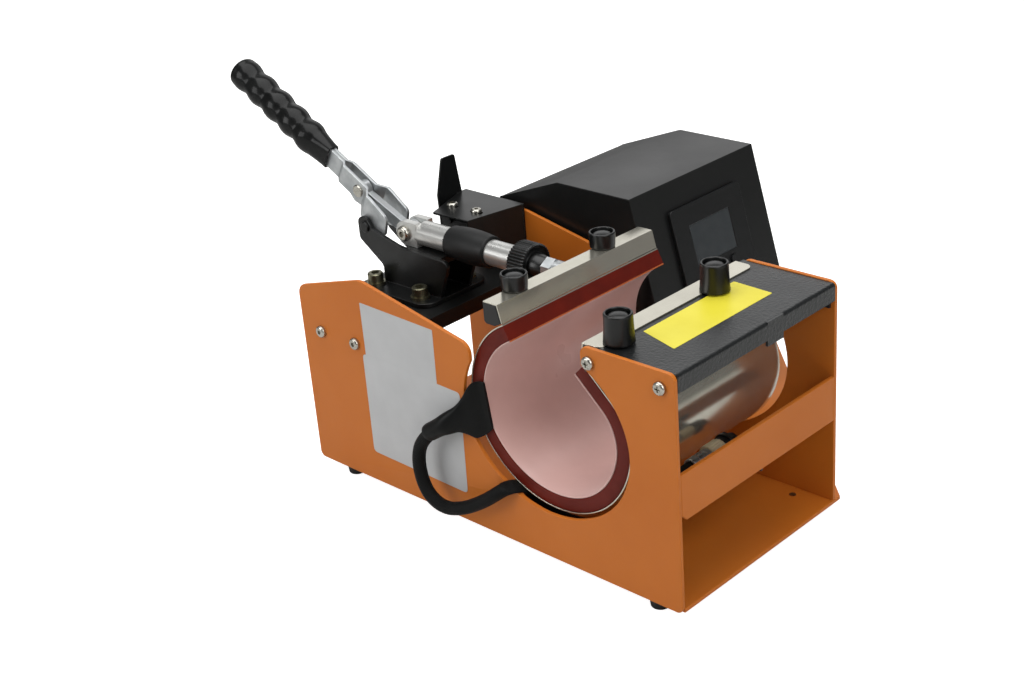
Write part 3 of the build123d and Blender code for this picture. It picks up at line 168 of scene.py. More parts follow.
def quads(rows, columns, closed):
    """Corner numbers of the quads of a grid, row by row; closed joins the last column to the first."""
    across_count = columns if closed else columns - 1
    i, j = np.meshgrid(np.arange(rows - 1), np.arange(across_count), indexing="ij")
    k = (j + 1) % columns
    corners = [i * columns + j, i * columns + k, (i + 1) * columns + k, (i + 1) * columns + j]
    return np.stack(corners, -1).reshape(-1, 4)


def skin(name, grid, closed=True, caps=True, smooth_angle=40):
    """A surface through a grid of points (rows, columns, 3) in drawing millimetres; its columns close
    on themselves, and caps close its first and last row."""
    rows, columns, _ = grid.shape
    faces = quads(rows, columns, closed).tolist()
    if caps:
        faces += [list(range(columns))[::-1], list(range((rows - 1) * columns, rows * columns))]
    return make_object(name, seat(grid.reshape(-1, 3)), faces, smooth_angle)


def frame_of(axis, up=(0, 0, 1)):
    """Two unit vectors square to an axis."""
    axis = np.asarray(axis, float) / np.linalg.norm(axis)
    side = np.cross(up, axis)
    if np.linalg.norm(side) < 1e-6:
        side = np.array([1.0, 0, 0])
    side /= np.linalg.norm(side)
    return axis, side, np.cross(axis, side)


def turned(name, profile, start, axis, sides=64, ripple=None, up=(0, 0, 1), smooth_angle=40):
    """A turned part: a profile of (distance along the axis, radius) carried round the axis; ripple adds
    a share of radius that changes with the angle and the row."""
    axis, side, top = frame_of(axis, up)
    profile = np.asarray(profile, float)
    angle = np.linspace(0, 2 * np.pi, sides, endpoint=False)
    radius = np.repeat(profile[:, 1:2], sides, 1)
    if ripple is not None:
        radius = radius + ripple(profile, angle)
    round_ = np.cos(angle)[:, None] * side + np.sin(angle)[:, None] * top
    grid = np.asarray(start, float) + profile[:, 0][:, None, None] * axis + radius[..., None] * round_
    return skin(name, grid, caps=False, smooth_angle=smooth_angle)


def bend(corner, radius, first, last, steps=6):
    """Points of a profile's rounded corner: an arc about a centre between two angles in degrees."""
    a = np.radians(np.linspace(first, last, steps))
    return [(corner[0] + radius * math.cos(x), corner[1] + radius * math.sin(x)) for x in a]


def smooth_line(points, count):
    """A Catmull-Rom line through rows of numbers, at evenly spaced parameters."""
    p = np.asarray(points, float)
    p = np.vstack([2 * p[0] - p[1], p, 2 * p[-1] - p[-2]])
    t = np.linspace(0, len(points) - 1, count)
    i = np.minimum(t.astype(int), len(points) - 2)
    f = (t - i)[:, None]
    a, b, c, d = p[i], p[i + 1], p[i + 2], p[i + 3]
    return 0.5 * (2 * b + (c - a) * f + (2 * a - 5 * b + 4 * c - d) * f ** 2
                  + (3 * b - a - 3 * c + d) * f ** 3)


def eased(node, width, body, finish, sharp=35, segments=2):
    """A copy of a CAD node with its triangles joined, its flat faces made whole and its edges rounded
    by a width in millimetres."""
    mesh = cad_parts[node].data.copy()
    for attribute in [a.name for a in mesh.attributes if a.name in ("custom_normal", "sharp_edge")]:
        mesh.attributes.remove(mesh.attributes[attribute])
    whole = bmesh.new()
    whole.from_mesh(mesh)
    bmesh.ops.remove_doubles(whole, verts=whole.verts, dist=3e-6)
    bmesh.ops.dissolve_limit(whole, angle_limit=math.radians(0.6), verts=whole.verts, edges=whole.edges)
    bmesh.ops.recalc_face_normals(whole, faces=whole.faces)
    whole.to_mesh(mesh)
    whole.free()
    mesh.shade_smooth()
    mesh.set_sharp_from_angle(angle=math.radians(sharp))
    obj = bpy.data.objects.new(node + "_eased", mesh)
    bpy.context.scene.collection.objects.link(obj)
    edge = obj.modifiers.new("rounded edges", "BEVEL")
    edge.width = width * MM
    edge.segments = segments
    edge.limit_method = "ANGLE"
    edge.angle_limit = math.radians(sharp)
    edge.use_clamp_overlap = False
    edge.harden_normals = True
    return put(obj, body, finish, [node])


def dress(finish, *nodes):
    """Give CAD nodes a finish through their material slots."""
    for node in nodes:
        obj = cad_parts[node]
        if not obj.material_slots:
            obj.data.materials.append(finish)
        for place in obj.material_slots:
            place.material = finish


# ---------------------------------------------------------------- materials
# epoxy powder coat, satin: even colour, very shallow orange peel about a millimetre across
orange_powder = coat("orange_powder_coat", "C46E22", "BE681E", 0.46, 60, 1.1, 0.006, spread=0.03,
                     Specular_IOR_Level=0.28, Coat_Weight=0.06, Coat_Roughness=0.3)
# smooth black powder coat on the box and brackets: dark, broad soft sheen
black_powder = coat("black_powder_coat", "111212", "0D0E0E", 0.34, 50, 0.7, 0.01, spread=0.04,
                     Specular_IOR_Level=0.45)
# wrinkled black powder coat of the cover: raised leathery grain two millimetres across that breaks
# up its sheen
grained_powder = coat("grained_black_powder_coat", "1B1D1E", "121415", 0.3, 40, 2.1, 0.34, fine=(0.9, 0.06),
                      Specular_IOR_Level=0.55)
# black oxide and oil on the clamp's pressed base: deep black, soft sheen
black_oxide = coat("black_oxide_steel", "0C0D0D", "070808", 0.36, 18, 0.5, 0.01, spread=0.1,
                   Specular_IOR_Level=0.4)
# bright zinc plating on stamped steel: pale grey, cloudy patches and faint tooling lines
zinc = coat("zinc_plated_steel", "C6C9CA", "A6AAAC", 0.36, 9, 0.35, 0.006, stretch=(0.2, 1, 1), spread=0.08,
            Metallic=0.8)
# drawn and ground rod: finer and brighter than the stampings
ground_rod = coat("ground_steel_rod", "D8D8D5", "C2C2BF", 0.3, 14, 0.6, 0.002, stretch=(0.15, 1, 1),
                  Metallic=0.8)
# polished stainless strip: near a mirror, with hair scratches along its length
polished_strip = coat("polished_stainless_strip", "DAD6C8", "CAC6B8", 0.18, 30, 0.25, 0.0012,
                      stretch=(1, 0.05, 1), spread=0.03, Metallic=0.85)
# nickel plated screws: bright, slightly warm
plated_screw = coat("nickel_plated_screw", "C8C5BC", "A9A69C", 0.25, 3, 0.4, 0.004, spread=0.08, Metallic=1.0)
# blackened screws sunk in the hand knobs: dark, oily
black_screw = coat("blackened_screw", "26272A", "17181A", 0.32, 3, 0.4, 0.006, spread=0.08, Metallic=0.6)
# olive passivated cap screws: dull yellowish grey metal
dull_screw = coat("passivated_cap_screw", "8D8A74", "5F5D4C", 0.38, 2.5, 0.4, 0.01, spread=0.1, Metallic=1.0)
# silicone rubber, cast: waxy red brown, faint cloth print
silicone = coat("red_brown_silicone_rubber", "66180C", "561207", 0.46, 14, 0.9, 0.02,
                Specular_IOR_Level=0.2, Subsurface_Weight=0.08,
                Subsurface_Radius=(0.002, 0.0006, 0.0004), Subsurface_Scale=0.5)
# the liner's cut edge is painted brighter than its face: a painted glow for the light that its thin edge lets
# through
liner_edge_painted_glow = coat("liner_cut_edge_painted_glow", "B8602F", "A85428", 0.45, 6, 0.5, 0.01)
# non-stick coated inner skin: greyish pink, smooth, wide soft sheen
heater_skin = coat("nonstick_coated_inner_skin", "D2ADA6", "C6A099", 0.32, 45, 2.2, 0.012, spread=0.05,
                   Coat_Weight=0.25, Coat_Roughness=0.28, Sheen_Weight=0.2, Sheen_Roughness=0.5)
# dipped vinyl: black skin, soft with a wet highlight on its crowns
vinyl = coat("dipped_vinyl_grip", "070808", "040505", 0.4, 10, 1.4, 0.02, spread=0.12,
             Specular_IOR_Level=0.15, Coat_Weight=0.22, Coat_Roughness=0.1)
# neoprene sleeve: matt, slightly dusty black
sleeve_rubber = coat("neoprene_sleeve", "0C0D0D", "080909", 0.5, 8, 0.5, 0.02, Specular_IOR_Level=0.35)
# heat-shrink sheath: soft black skin with a dull sheen
sheath_skin = coat("heat_shrink_sheath", "060707", "040505", 0.42, 12, 2.5, 0.05, spread=0.08,
                   Specular_IOR_Level=0.18)
# moulded ABS knobs: black, satin, faint sink marks
knob_plastic = coat("moulded_abs_knob", "0D0E0E", "080909", 0.32, 6, 2.2, 0.01,
                    Specular_IOR_Level=0.4, Coat_Weight=0.15, Coat_Roughness=0.12)
# matt moulded parts of the box and the switch
dark_plastic = coat("moulded_dark_plastic", "111213", "0D0E0F", 0.42, 10, 0.5, 0.01, Specular_IOR_Level=0.4)
# rubber foot: matt, dusty
foot_rubber = coat("bumper_rubber", "171717", "0F0F0F", 0.66, 6, 0.6, 0.02)
# silicone keys: black, matt
key_rubber = coat("key_rubber", "1C1D1E", "161718", 0.5, 5, 0.5, 0.008, Specular_IOR_Level=0.3)
# paper-faced vinyl sticker: pale grey, faint fibre
pale_label = coat("blank_pale_label", "BCBDBE", "B4B5B6", 0.5, 25, 0.6, 0.004)
yellow_label = coat("blank_yellow_label", "E0D43A", "D8CB32", 0.42, 30, 0.8, 0.01)
# nickel plated plug shell, and the cream nylon ring that locks it
plug_shell = coat("nickel_plug_shell", "C2C3C2", "A4A6A5", 0.3, 6, 0.4, 0.004, spread=0.08, Metallic=0.9)
cream_nylon = coat("cream_nylon_ring", "CDBF9E", "BBAE8E", 0.45, 6, 0.8, 0.01)
# glass-filled circuit board with green solder mask
board_green = coat("solder_mask_board", "1E5A34", "17482A", 0.35, 6, 0.6, 0.01)
brass = coat("turned_brass", "C8A050", "AF8A42", 0.25, 5, 0.3, 0.003, Metallic=1.0)


def woven_sleeving():
    """Braided nylon sleeving: two sets of threads that cross on the cord's own length and round,
    each thread a ridge of a sine wave, raised where its set passes over the other."""
    material, tree, shader = start_material("braided_nylon_sleeving", Roughness=0.55, Specular_IOR_Level=0.15)
    shader.inputs["Base Color"].default_value = tone("060707")
    along = add(tree, "UVMap", uv_map="cord")
    part = add(tree, "SeparateXYZ", {0: along.outputs[0]})
    thread = 1.1            # mm between threads; the real 0.5 would not show, so it is drawn coarser
    waves = []
    for hand in (1, -1):
        run = add(tree, "Math", {0: part.outputs[0], 1: 1000 / thread}, operation="MULTIPLY")
        lean = add(tree, "Math", {0: part.outputs[1], 1: hand * 16.0, 2: run.outputs[0]},
                   operation="MULTIPLY_ADD")
        turn = add(tree, "Math", {0: lean.outputs[0], 1: 2 * math.pi}, operation="MULTIPLY")
        waves.append(add(tree, "Math", {0: turn.outputs[0]}, operation="SINE").outputs[0])
    height = add(tree, "Math", {0: waves[0], 1: waves[1]}, operation="MAXIMUM")
    bump = add(tree, "Bump", {"Height": height.outputs[0], "Distance": 0.12 * MM, "Strength": 0.6})
    tree.links.new(bump.outputs[0], shader.inputs["Normal"])
    return material


def display_glass():
    """Smoked acrylic window: nearly black, sharp reflections, with a faint grey panel behind it."""
    material, tree, shader = start_material("smoked_display_window", Roughness=0.12, IOR=1.49,
                                            Coat_Weight=0.5, Coat_Roughness=0.03)
    where = add(tree, "TexCoord").outputs["Object"]
    cells = add(tree, "TexNoise", {"Vector": where, "Scale": 120.0})
    mix = add(tree, "Mix", {0: cells.outputs[0], 6: tone("33373A"), 7: tone("3D4143")}, data_type="RGBA")
    tree.links.new(mix.outputs[2], shader.inputs["Base Color"])
    return material


braid = woven_sleeving()
window = display_glass()


# ---------------------------------------------------------------- heater lead and its sheath
LEAD_DIAMETER = 8.2
LEAD_POINTS = ((131.0, -8.4, 66.2), (116.2, -11.3, 55.6), (110.4, -12.2, 38.0), (115.6, -12.6, 18.6),
               (130.0, -12.6, 12.0), (146.0, -11.0, 16.5), (161.0, -8.4, 25.5), (171.0, -6.8, 33.5),
               (176.5, -2.4, 38.0), (179.3, 8.2, 34.9), (184.0, 14.0, 25.0), (201.0, 13.5, 17.5),
               (222.0, 19.0, 17.0), (246.0, 20.0, 20.0), (266.0, 15.0, 31.0), (276.0, 17.0, 47.0),
               (272.5, 29.0, 60.5), (272.5, 45.0, 60.5))
# the sleeve is pressed flat where it is led between the wall's rim and the heater: the way across the
# gap, and the shares of its radius that are left across and along the rim
PRESSED_X, PRESSED_Y, PRESSED_REACH, PRESSED_FADE = 178.0, 2.5, 3.5, 5.0
PRESSED_ACROSS, PRESSED_THIN, PRESSED_WIDE = (0.41, 0.0, 0.91), 0.29, 1.3
# the sheath end of the lead goes with the clamp's plunger, the part over the wall's edge stays
LEAD_STILL, LEAD_MOVING = (178.0, -8.0, 36.0), (168.8, -8.0, 72.0)


def spline_line(points, per_span=8):
    """The route's own smooth line, read from a NURBS curve of order 3 through Blender."""
    curve = bpy.data.curves.new("route", "CURVE")
    curve.dimensions = "3D"
    spline = curve.splines.new("NURBS")
    spline.points.add(len(points) - 1)
    flat = np.column_stack([seat(points), np.ones(len(points))])
    spline.points.foreach_set("co", flat.ravel())
    spline.order_u = 3
    spline.use_endpoint_u = True
    spline.resolution_u = per_span
    holder = bpy.data.objects.new("route", curve)
    line = bpy.data.meshes.new_from_object(holder)
    found = np.empty(len(line.vertices) * 3, np.float32)
    line.vertices.foreach_get("co", found)
    bpy.data.meshes.remove(line)
    bpy.data.objects.remove(holder)
    bpy.data.curves.remove(curve)
    return found.reshape(-1, 3).astype(float)


def tube_along(name, line, radius, sides=28, pressed=None):
    """A round tube round a line of points in metres: each ring is carried on from the last without
    twist. Its UV map, cord, holds the length in metres and the share of the way round. pressed is each
    ring's share, 0 to 1, of the flattening that the pressed stretch has."""
    step = np.gradient(line, axis=0)
    step /= np.linalg.norm(step, axis=1)[:, None]
    side = np.cross(step[0], (0, 0, 1))
    sides_line = []
    for heading in step:
        side = side - heading * (side @ heading)
        side = side / np.linalg.norm(side)
        sides_line.append(side)
    side = np.array(sides_line)
    up = np.cross(step, side)
    angle = np.linspace(0, 2 * np.pi, sides, endpoint=False)
    ring = radius * (np.cos(angle)[None, :, None] * side[:, None]
                     + np.sin(angle)[None, :, None] * up[:, None])
    if pressed is not None:
        across = np.array(PRESSED_ACROSS)
        along = np.cross(across, (0, 1.0, 0))
        share = pressed[:, None, None]
        ring = ring + share * ((PRESSED_THIN - 1) * (ring @ across)[..., None] * across
                               + (PRESSED_WIDE - 1) * (ring @ along)[..., None] * along)
    grid = line[:, None] + ring
    rows = len(line)
    faces = quads(rows, sides, True)
    mesh = bpy.data.meshes.new(name)
    ends = [list(range(sides))[::-1], list(range((rows - 1) * sides, rows * sides))]
    mesh.from_pydata(grid.reshape(-1, 3).tolist(), [], faces.tolist() + ends)
    length = np.concatenate([[0], np.cumsum(np.linalg.norm(np.diff(line, axis=0), axis=1))])
    j = np.tile(np.arange(sides), rows - 1)
    i = np.repeat(np.arange(rows - 1), sides)
    u = np.stack([length[i], length[i], length[i + 1], length[i + 1]], -1)
    v = np.stack([j, j + 1, j + 1, j], -1) / sides
    uv = mesh.uv_layers.new(name="cord")
    flat = np.zeros((len(mesh.loops), 2), np.float32)
    flat[:faces.size] = np.stack([u, v], -1).reshape(-1, 2)
    uv.data.foreach_set("uv", flat.ravel())
    mesh.shade_smooth()
    mesh.set_sharp_from_angle(angle=math.radians(50))
    obj = bpy.data.objects.new(name, mesh)
    bpy.context.scene.collection.objects.link(obj)
    return obj


lead_line = spline_line(LEAD_POINTS)
lead_places = (lead_line - CORNER) / MM
press = np.clip((PRESSED_REACH + PRESSED_FADE - abs(lead_places[:, 1] - PRESSED_Y)) / PRESSED_FADE, 0, 1)
press = press ** 2 * (3 - 2 * press) * (abs(lead_places[:, 0] - PRESSED_X) < 14)
lead = tube_along("braided_lead", lead_line, LEAD_DIAMETER / 2 * MM, pressed=press)
put(lead, None, braid, ["heater_lead"])
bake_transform(lead, "frame", "plunger", start=seat(LEAD_STILL), end=seat(LEAD_MOVING))

# the sheath is gathered from a wide flat flap on the pad's edge to a round tube: each section is
# (middle), (half of its height, a vector), (half of its thickness, a vector), squareness
SHEATH_SECTIONS = (
    ((159.0, 4.0, 82.5), (-2.15, 0.0, 14.5), (0.1, -0.9, 0.0), 5.0),
    ((155.0, 2.8, 80.5), (-2.2, 0.0, 16.3), (0.2, -1.1, 0.0), 4.5),
    ((150.2, 0.0, 77.8), (-1.2, 0.0, 16.8), (0.4, -1.4, 0.1), 3.6),
    ((145.5, -2.6, 74.5), (-1.2, 0.0, 11.8), (0.7, -1.8, 0.4), 2.8),
    ((141.0, -5.0, 72.0), (-1.0, 0.0, 8.3), (0.9, -3.2, 0.6), 2.3),
    ((135.0, -7.6, 68.5), (-2.6, 0.0, 6.2), (0.6, -5.2, 0.3), 2.0),
    ((129.5, -8.9, 65.0), (-3.3, 0.0, 4.6), (0.4, -5.5, 0.1), 2.0),
    ((122.5, -9.8, 60.3), (-3.4, 0.0, 4.35), (0.4, -5.5, 0.1), 2.0),
)
SHEATH_WALL = 0.9


def make_sheath():
    """Superellipse sections drawn along a smooth line of middles; the mouth turns in on itself with the
    sheath's own thickness and runs a short way back inside as an open tube."""
    flat = np.array([np.concatenate([np.ravel(x) for x in row]) for row in SHEATH_SECTIONS], float)
    line = smooth_line(flat, 60)
    mouth = line[-1].copy()
    inside = []
    for share, back in ((0.5, -0.25), (1.0, 0.0), (1.0, 0.12), (1.0, 0.5)):
        row = mouth.copy()
        row[:3] = mouth[:3] + (line[-9][:3] - mouth[:3]) * back
        row[3:9] *= 1 - share * SHEATH_WALL / 6.5
        inside.append(row)
    deep = inside[-1].copy()
    deep[3:9] *= 0.02
    line = np.vstack([line, inside, deep])
    angle = np.linspace(0, 2 * np.pi, 72, endpoint=False)
    power = 2 / line[:, 9:10]
    c = np.sign(np.cos(angle)) * np.abs(np.cos(angle)) ** power
    s = np.sign(np.sin(angle)) * np.abs(np.sin(angle)) ** power
    fold = 1 + 0.018 * np.sin(5 * angle) * np.sin(np.linspace(0, 9, len(line)))[:, None]
    grid = (line[:, None, :3] + (c * fold)[..., None] * line[:, None, 3:6]
            + (s * fold)[..., None] * line[:, None, 6:9])
    return skin("lead_sheath", grid)


# ---------------------------------------------------------------- heater
HEATER_Y0, HEATER_Y1 = 5.0, 140.8
HEATER_START, HEATER_HEADING = (179.6, 127.6), 207.0
HEATER_ARCS = ((43.5, 98.0), (53.0, 63.0), (46.0, 69.0), (29.0, 60.0))     # radius, degrees of turn
HEATER_TAIL = 24.0
LINER, PAD, BAND = 0.8, 9.0, 0.8
# the pad bends between its fixed end under the cover and its moving end under the bar
HEATER_STILL, HEATER_MOVING = (243.0, 70.0, 80.0), (168.0, 70.0, 80.0)


def heater_line():
    """The inner face seen from the side: arcs that turn left one after another, then a straight end.
    Returns the points and the directions away from the middle, both as (X, Z)."""
    x, z, heading = *HEATER_START, HEATER_HEADING
    points, outs = [], []
    for radius, sweep in HEATER_ARCS:
        a = np.radians(heading - 90 + np.linspace(0, sweep, int(sweep / 1.6) + 2))
        out = np.stack([np.cos(a), np.sin(a)], -1)
        middle = np.array([x, z]) - radius * out[0]
        arc = middle + radius * out
        points.append(arc[:-1])
        outs.append(out[:-1])
        (x, z), heading = arc[-1], heading + sweep
    along = np.linspace(0, HEATER_TAIL, 14)[:, None]
    a = math.radians(heading)
    points.append(np.array([x, z]) + along * [math.cos(a), math.sin(a)])
    outs.append(np.repeat([[math.sin(a), -math.cos(a)]], 14, 0))
    return np.vstack(points), np.vstack(outs)


def strip_section(y0, y1, inner, outer, corner, steps=24):
    """Cross-section of a strip as (Y, offset) round its outline: long flat faces, rounded corners."""
    ys = np.linspace(y0 + corner, y1 - corner, steps)
    rows = [(y, inner) for y in ys]
    rows += bend((y1 - corner, inner + corner), corner, -90, 0, 5)[1:]
    rows += bend((y1 - corner, outer - corner), corner, 0, 90, 5)
    rows += [(y, outer) for y in ys[::-1]][1:]
    rows += bend((y0 + corner, outer - corner), corner, 90, 180, 5)[1:]
    rows += bend((y0 + corner, inner + corner), corner, 180, 270, 5)[:-1]
    return np.array(rows)


def heater_strip(name, section, sag=None):
    """A strip's cross-section carried along the heater's line; sag moves it by a soft wave (mm)."""
    points, outs = heater_line()
    s = np.linspace(0, 1, len(points))[:, None]
    offset = np.repeat(section[None, :, 1], len(points), 0)
    if sag is not None:
        offset = offset + sag(s, section[None, :, 0])
    grid = np.empty((len(points), len(section), 3))
    grid[..., 0] = points[:, None, 0] + outs[:, None, 0] * offset
    grid[..., 1] = section[None, :, 0]
    grid[..., 2] = points[:, None, 1] + outs[:, None, 1] * offset
    return skin(name, grid, smooth_angle=50)


def bends_with_clamp(obj):
    """A piece that stays with the frame on the cover's side and follows the plunger on the bar's side."""
    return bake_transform(obj, "frame", "plunger", start=seat(HEATER_STILL), end=seat(HEATER_MOVING))


def make_heater():
    """Inner skin, cast pad and outer steel band."""
    ripple = lambda s, y: 0.12 * np.sin(2 * np.pi * (2.2 * s + y / 190)) * np.sin(np.pi * s)
    liner = heater_strip("heater_inner_skin", strip_section(HEATER_Y0, HEATER_Y1, 0, LINER, 0.35), ripple)
    put(liner, None, heater_skin, ["heater_liner"])
    liner.data.materials.append(liner_edge_painted_glow)
    # the liner's end faces take the painted glow of its thin cut edge
    ends = [p for p in liner.data.polygons if len(p.vertices) > 4]
    for face in ends:
        face.material_index = 1
    pad = heater_strip("heater_silicone_pad",
                       strip_section(HEATER_Y0, HEATER_Y1, LINER + 0.02, LINER + PAD - 0.02, 0.9))
    put(pad, None, silicone, ["heater_pad"])
    band = heater_strip("heater_steel_band",
                        strip_section(HEATER_Y0, HEATER_Y1, LINER + PAD, LINER + PAD + BAND, 0.15))
    put(band, None, polished_strip, ["heater_band"])
    for piece in (liner, pad, band):
        bends_with_clamp(piece)
    sheath = make_sheath()
    put(sheath, None, sheath_skin, ["heater_sheath"])
    bends_with_clamp(sheath)
    return sheath


sheath = make_heater()


# ---------------------------------------------------------------- handle grip
LINK_PIN = (-12.967, 160.258)
HANDLE_ANGLE = 151.2
MID_Y = 73.0
GRIP_START, GRIP_END, COLLAR_END, GRIP_PITCH, GRIP_FINGERS = 34.0, 132.0, 47.5, 17.0, 5
GRIP_R, GRIP_NECK_R = 10.8, 9.2


def make_grip():
    """A flattened collar that swells into five finger rings and a round end: the radius follows a cosine
    wave from neck to crown, and the section goes from a rounded oblong at the collar to round."""
    rings = np.linspace(COLLAR_END, COLLAR_END + GRIP_PITCH * (GRIP_FINGERS - 0.32), 150)
    swell = 0.5 - 0.5 * np.cos(2 * np.pi * (rings - COLLAR_END) / GRIP_PITCH)
    radius = GRIP_NECK_R + (GRIP_R - GRIP_NECK_R) * swell ** 0.75
    collar = np.linspace(GRIP_START, COLLAR_END, 14)[:-1]
    neck = 7.9 + (GRIP_NECK_R - 7.9) * ((collar - GRIP_START) / (COLLAR_END - GRIP_START)) ** 1.6
    outer = np.column_stack([np.append(collar, rings), np.append(neck, radius)])
    outer = outer[outer[:, 0] < GRIP_END - 4.0]
    edge = 4.0
    end = bend((GRIP_END - edge, outer[-1, 1] - edge), edge, 88, 2, 9)
    end += [(GRIP_END - 0.1, 3.0), (GRIP_END, 0.0)]
    lip = [(GRIP_START + 4, 5.2), (GRIP_START + 0.4, 5.4), (GRIP_START, 6.2)]
    profile = np.array([(GRIP_START + 4, 0.0)] + lip + outer.tolist() + end)
    a = math.radians(HANDLE_ANGLE)
    axis = np.array([math.cos(a), 0, math.sin(a)])
    up = np.array([math.sin(a), 0, -math.cos(a)])
    side = np.array([0, 1.0, 0])
    angle = np.linspace(0, 2 * np.pi, 64, endpoint=False)
    squareness = np.clip(1 - (profile[:, 0] - GRIP_START) / 24, 0, 1)[:, None]
    wide = profile[:, 1:2] * (1 - 0.36 * squareness)
    tall = profile[:, 1:2] * (1 + 0.1 * squareness)
    power = 1 - 0.42 * squareness
    c = np.sign(np.cos(angle)) * np.abs(np.cos(angle)) ** power
    s = np.sign(np.sin(angle)) * np.abs(np.sin(angle)) ** power
    base = np.array([LINK_PIN[0], MID_Y, LINK_PIN[1]]) + profile[:, :1] * axis
    grid = base[:, None] + (wide * c)[..., None] * side + (tall * s)[..., None] * up
    grip = skin("vinyl_grip", grid, caps=False, smooth_angle=60)
    return put(grip, "handle", vinyl, ["handle_grip"])


make_grip()


# ---------------------------------------------------------------- plunger sleeve and pressure knob
PLUNGER_Z = 141.0
SLEEVE = (67.0, 101.5)


def make_sleeve():
    """Barrel-shaped rubber sleeve with rounded ends over the plunger's tube."""
    x0, x1 = SLEEVE
    middle, reach = (x0 + x1) / 2, (x1 - x0) / 2 - 1.6
    profile = [(x0 + 0.1, 8.02), (x0 + 0.1, 8.6)] + bend((x0 + 1.5, 8.7), 1.4, 180, 100, 5)
    profile += [(x, 9.9 + 1.25 * (1 - ((x - middle) / reach) ** 2))
                for x in np.linspace(x0 + 2.4, x1 - 2.4, 24)]
    profile += bend((x1 - 1.5, 8.7), 1.4, 80, 0, 5) + [(x1 - 0.1, 8.02)]
    profile.append(profile[0])
    sleeve = turned("plunger_sleeve", profile, (0, MID_Y, PLUNGER_Z), (1, 0, 0), 72)
    return put(sleeve, "plunger", sleeve_rubber, ["rubber_sleeve"])


def make_pressure_knob():
    """Knurled disc with forty rounded ridges, recessed faces and a tapered hub."""
    x0, thick, hub_end = 125.0, 13.0, 147.0
    ridges = 40
    rim = [(x0 + 2.0, 5.1), (x0 + 2.0, 9.4), (x0 + 0.4, 10.4), (x0, 11.4)]
    rim += bend((x0 + 0.9, 12.1), 0.9, 170, 90, 4)
    rim += [(x0 + u, 13.0) for u in np.linspace(2, thick - 2, 8)]
    rim += bend((x0 + thick - 0.9, 12.1), 0.9, 90, 10, 4)
    rim += [(x0 + thick, 11.4), (x0 + thick - 1.2, 10.6), (x0 + thick - 1.4, 8.6), (x0 + thick - 1.0, 8.0),
            (x0 + thick + 3.0, 7.4), (hub_end - 0.8, 6.3), (hub_end - 0.2, 5.9), (hub_end, 5.1)]
    rim.append(rim[0])

    def ripple(profile, angle):
        share = np.clip((profile[:, 1:2] - 11.9) / 0.8, 0, 1)
        wave = 0.5 + 0.5 * np.cos(ridges * angle)[None]
        return -share * 0.8 * (1 - wave ** 0.6)
    knob = turned("ridged_pressure_knob", rim, (0, MID_Y, PLUNGER_Z), (1, 0, 0), ridges * 10, ripple)
    return put(knob, "pressure_knob", knob_plastic, ["pressure_knob"])


make_sleeve()
make_pressure_knob()


# ---------------------------------------------------------------- hand knobs
def make_hand_knob(node, body, base, radius, height):
    """Cup knob: slightly flared skirt, soft rim, and in the cup the domed black cap over its screw."""
    top, cup, cap = 8.0, 6.6, height - 2.6
    profile = [(0.0, 2.6), (0.0, radius - 0.5)] + bend((0.5, radius - 0.5), 0.5, 180, 90, 4)
    for share in np.linspace(0.08, 0.9, 12):
        profile.append((share * height, top + (radius - top) * (1 - share) ** 2.2))
    profile += bend((height - 0.7, top - 0.7), 0.7, 90, 0, 6)
    profile += bend((height - 0.5, cup + 0.5), 0.5, 0, -90, 5)
    profile += [(cap, cup), (cap, cup - 0.35)]
    profile += [(cap + 2.1 * math.sin(a), (cup - 0.35) * math.cos(a))
                for a in np.linspace(0.12, math.pi / 2, 12)]
    knob = turned(node + "_cup", profile, base, (0, 0, 1), 72, up=(0, 1, 0), smooth_angle=50)
    return put(knob, body, knob_plastic, [node])


COVER_TOP = 142.6
BAR_KNOBS_Z, COVER_KNOBS_Z = 148.3, 143.7       # over the strap, with the knobs' running gap
HAND_KNOBS = (("bar_knob_near", (163.6, 28.0, BAR_KNOBS_Z), 7.6, 9.6),
              ("bar_knob_far", (163.6, 104.0, BAR_KNOBS_Z), 7.6, 9.6),
              ("cover_knob_near", (251.5, 15.0, COVER_KNOBS_Z), 8.8, 16.8),
              ("cover_knob_far", (251.5, 97.5, COVER_KNOBS_Z), 8.8, 16.8))      # foot, radius, height
for node, foot, radius, height in HAND_KNOBS:
    make_hand_knob(node, node, foot, radius, height)


# ---------------------------------------------------------------- feet
FOOT_HEIGHT, FOOT_SIDES = 8.5, 40
FOOT_SPOTS = ((23.5, 10.0), (276.5, 10.0), (276.5, 136.0), (45.5, 289.0), (135.0, 289.0))


def make_feet():
    """Tapered bumpers with soft edges and a hollow round the screw."""
    rings = []
    profile = [(FOOT_HEIGHT, 2.1), (FOOT_HEIGHT, 6.0)] + bend((8.0, 6.0), 0.5, 0, 90, 3) + [(4.0, 5.95)]
    profile += bend((1.0, 4.6), 1.0, 100, 180, 6) + [(0.0, 3.6), (0.6, 3.1), (4.4, 3.1), (4.5, 2.1)]
    profile.append(profile[0])
    profile = np.array(profile)
    angle = np.linspace(0, 2 * np.pi, FOOT_SIDES, endpoint=False)
    for x, y in FOOT_SPOTS:
        ring = np.empty((len(profile), FOOT_SIDES, 3))
        ring[..., 0] = x + profile[:, 1:2] * np.cos(angle)
        ring[..., 1] = y + profile[:, 1:2] * np.sin(angle)
        ring[..., 2] = -FOOT_HEIGHT + profile[:, :1]
        rings.append(ring)
    faces, points = [], []
    for n, ring in enumerate(rings):
        points.append(ring.reshape(-1, 3))
        faces.append(quads(len(profile), FOOT_SIDES, True) + n * len(profile) * FOOT_SIDES)
    feet = make_object("bumper_feet", seat(np.vstack(points)), np.vstack(faces).tolist())
    return put(feet, "frame", foot_rubber, ["rubber_feet"])


make_feet()


# ---------------------------------------------------------------- plug of the lead
PLUG_X, PLUG_Z, PLUG_Y0, PLUG_Y1 = 272.5, 60.5, 45.0, 60.5


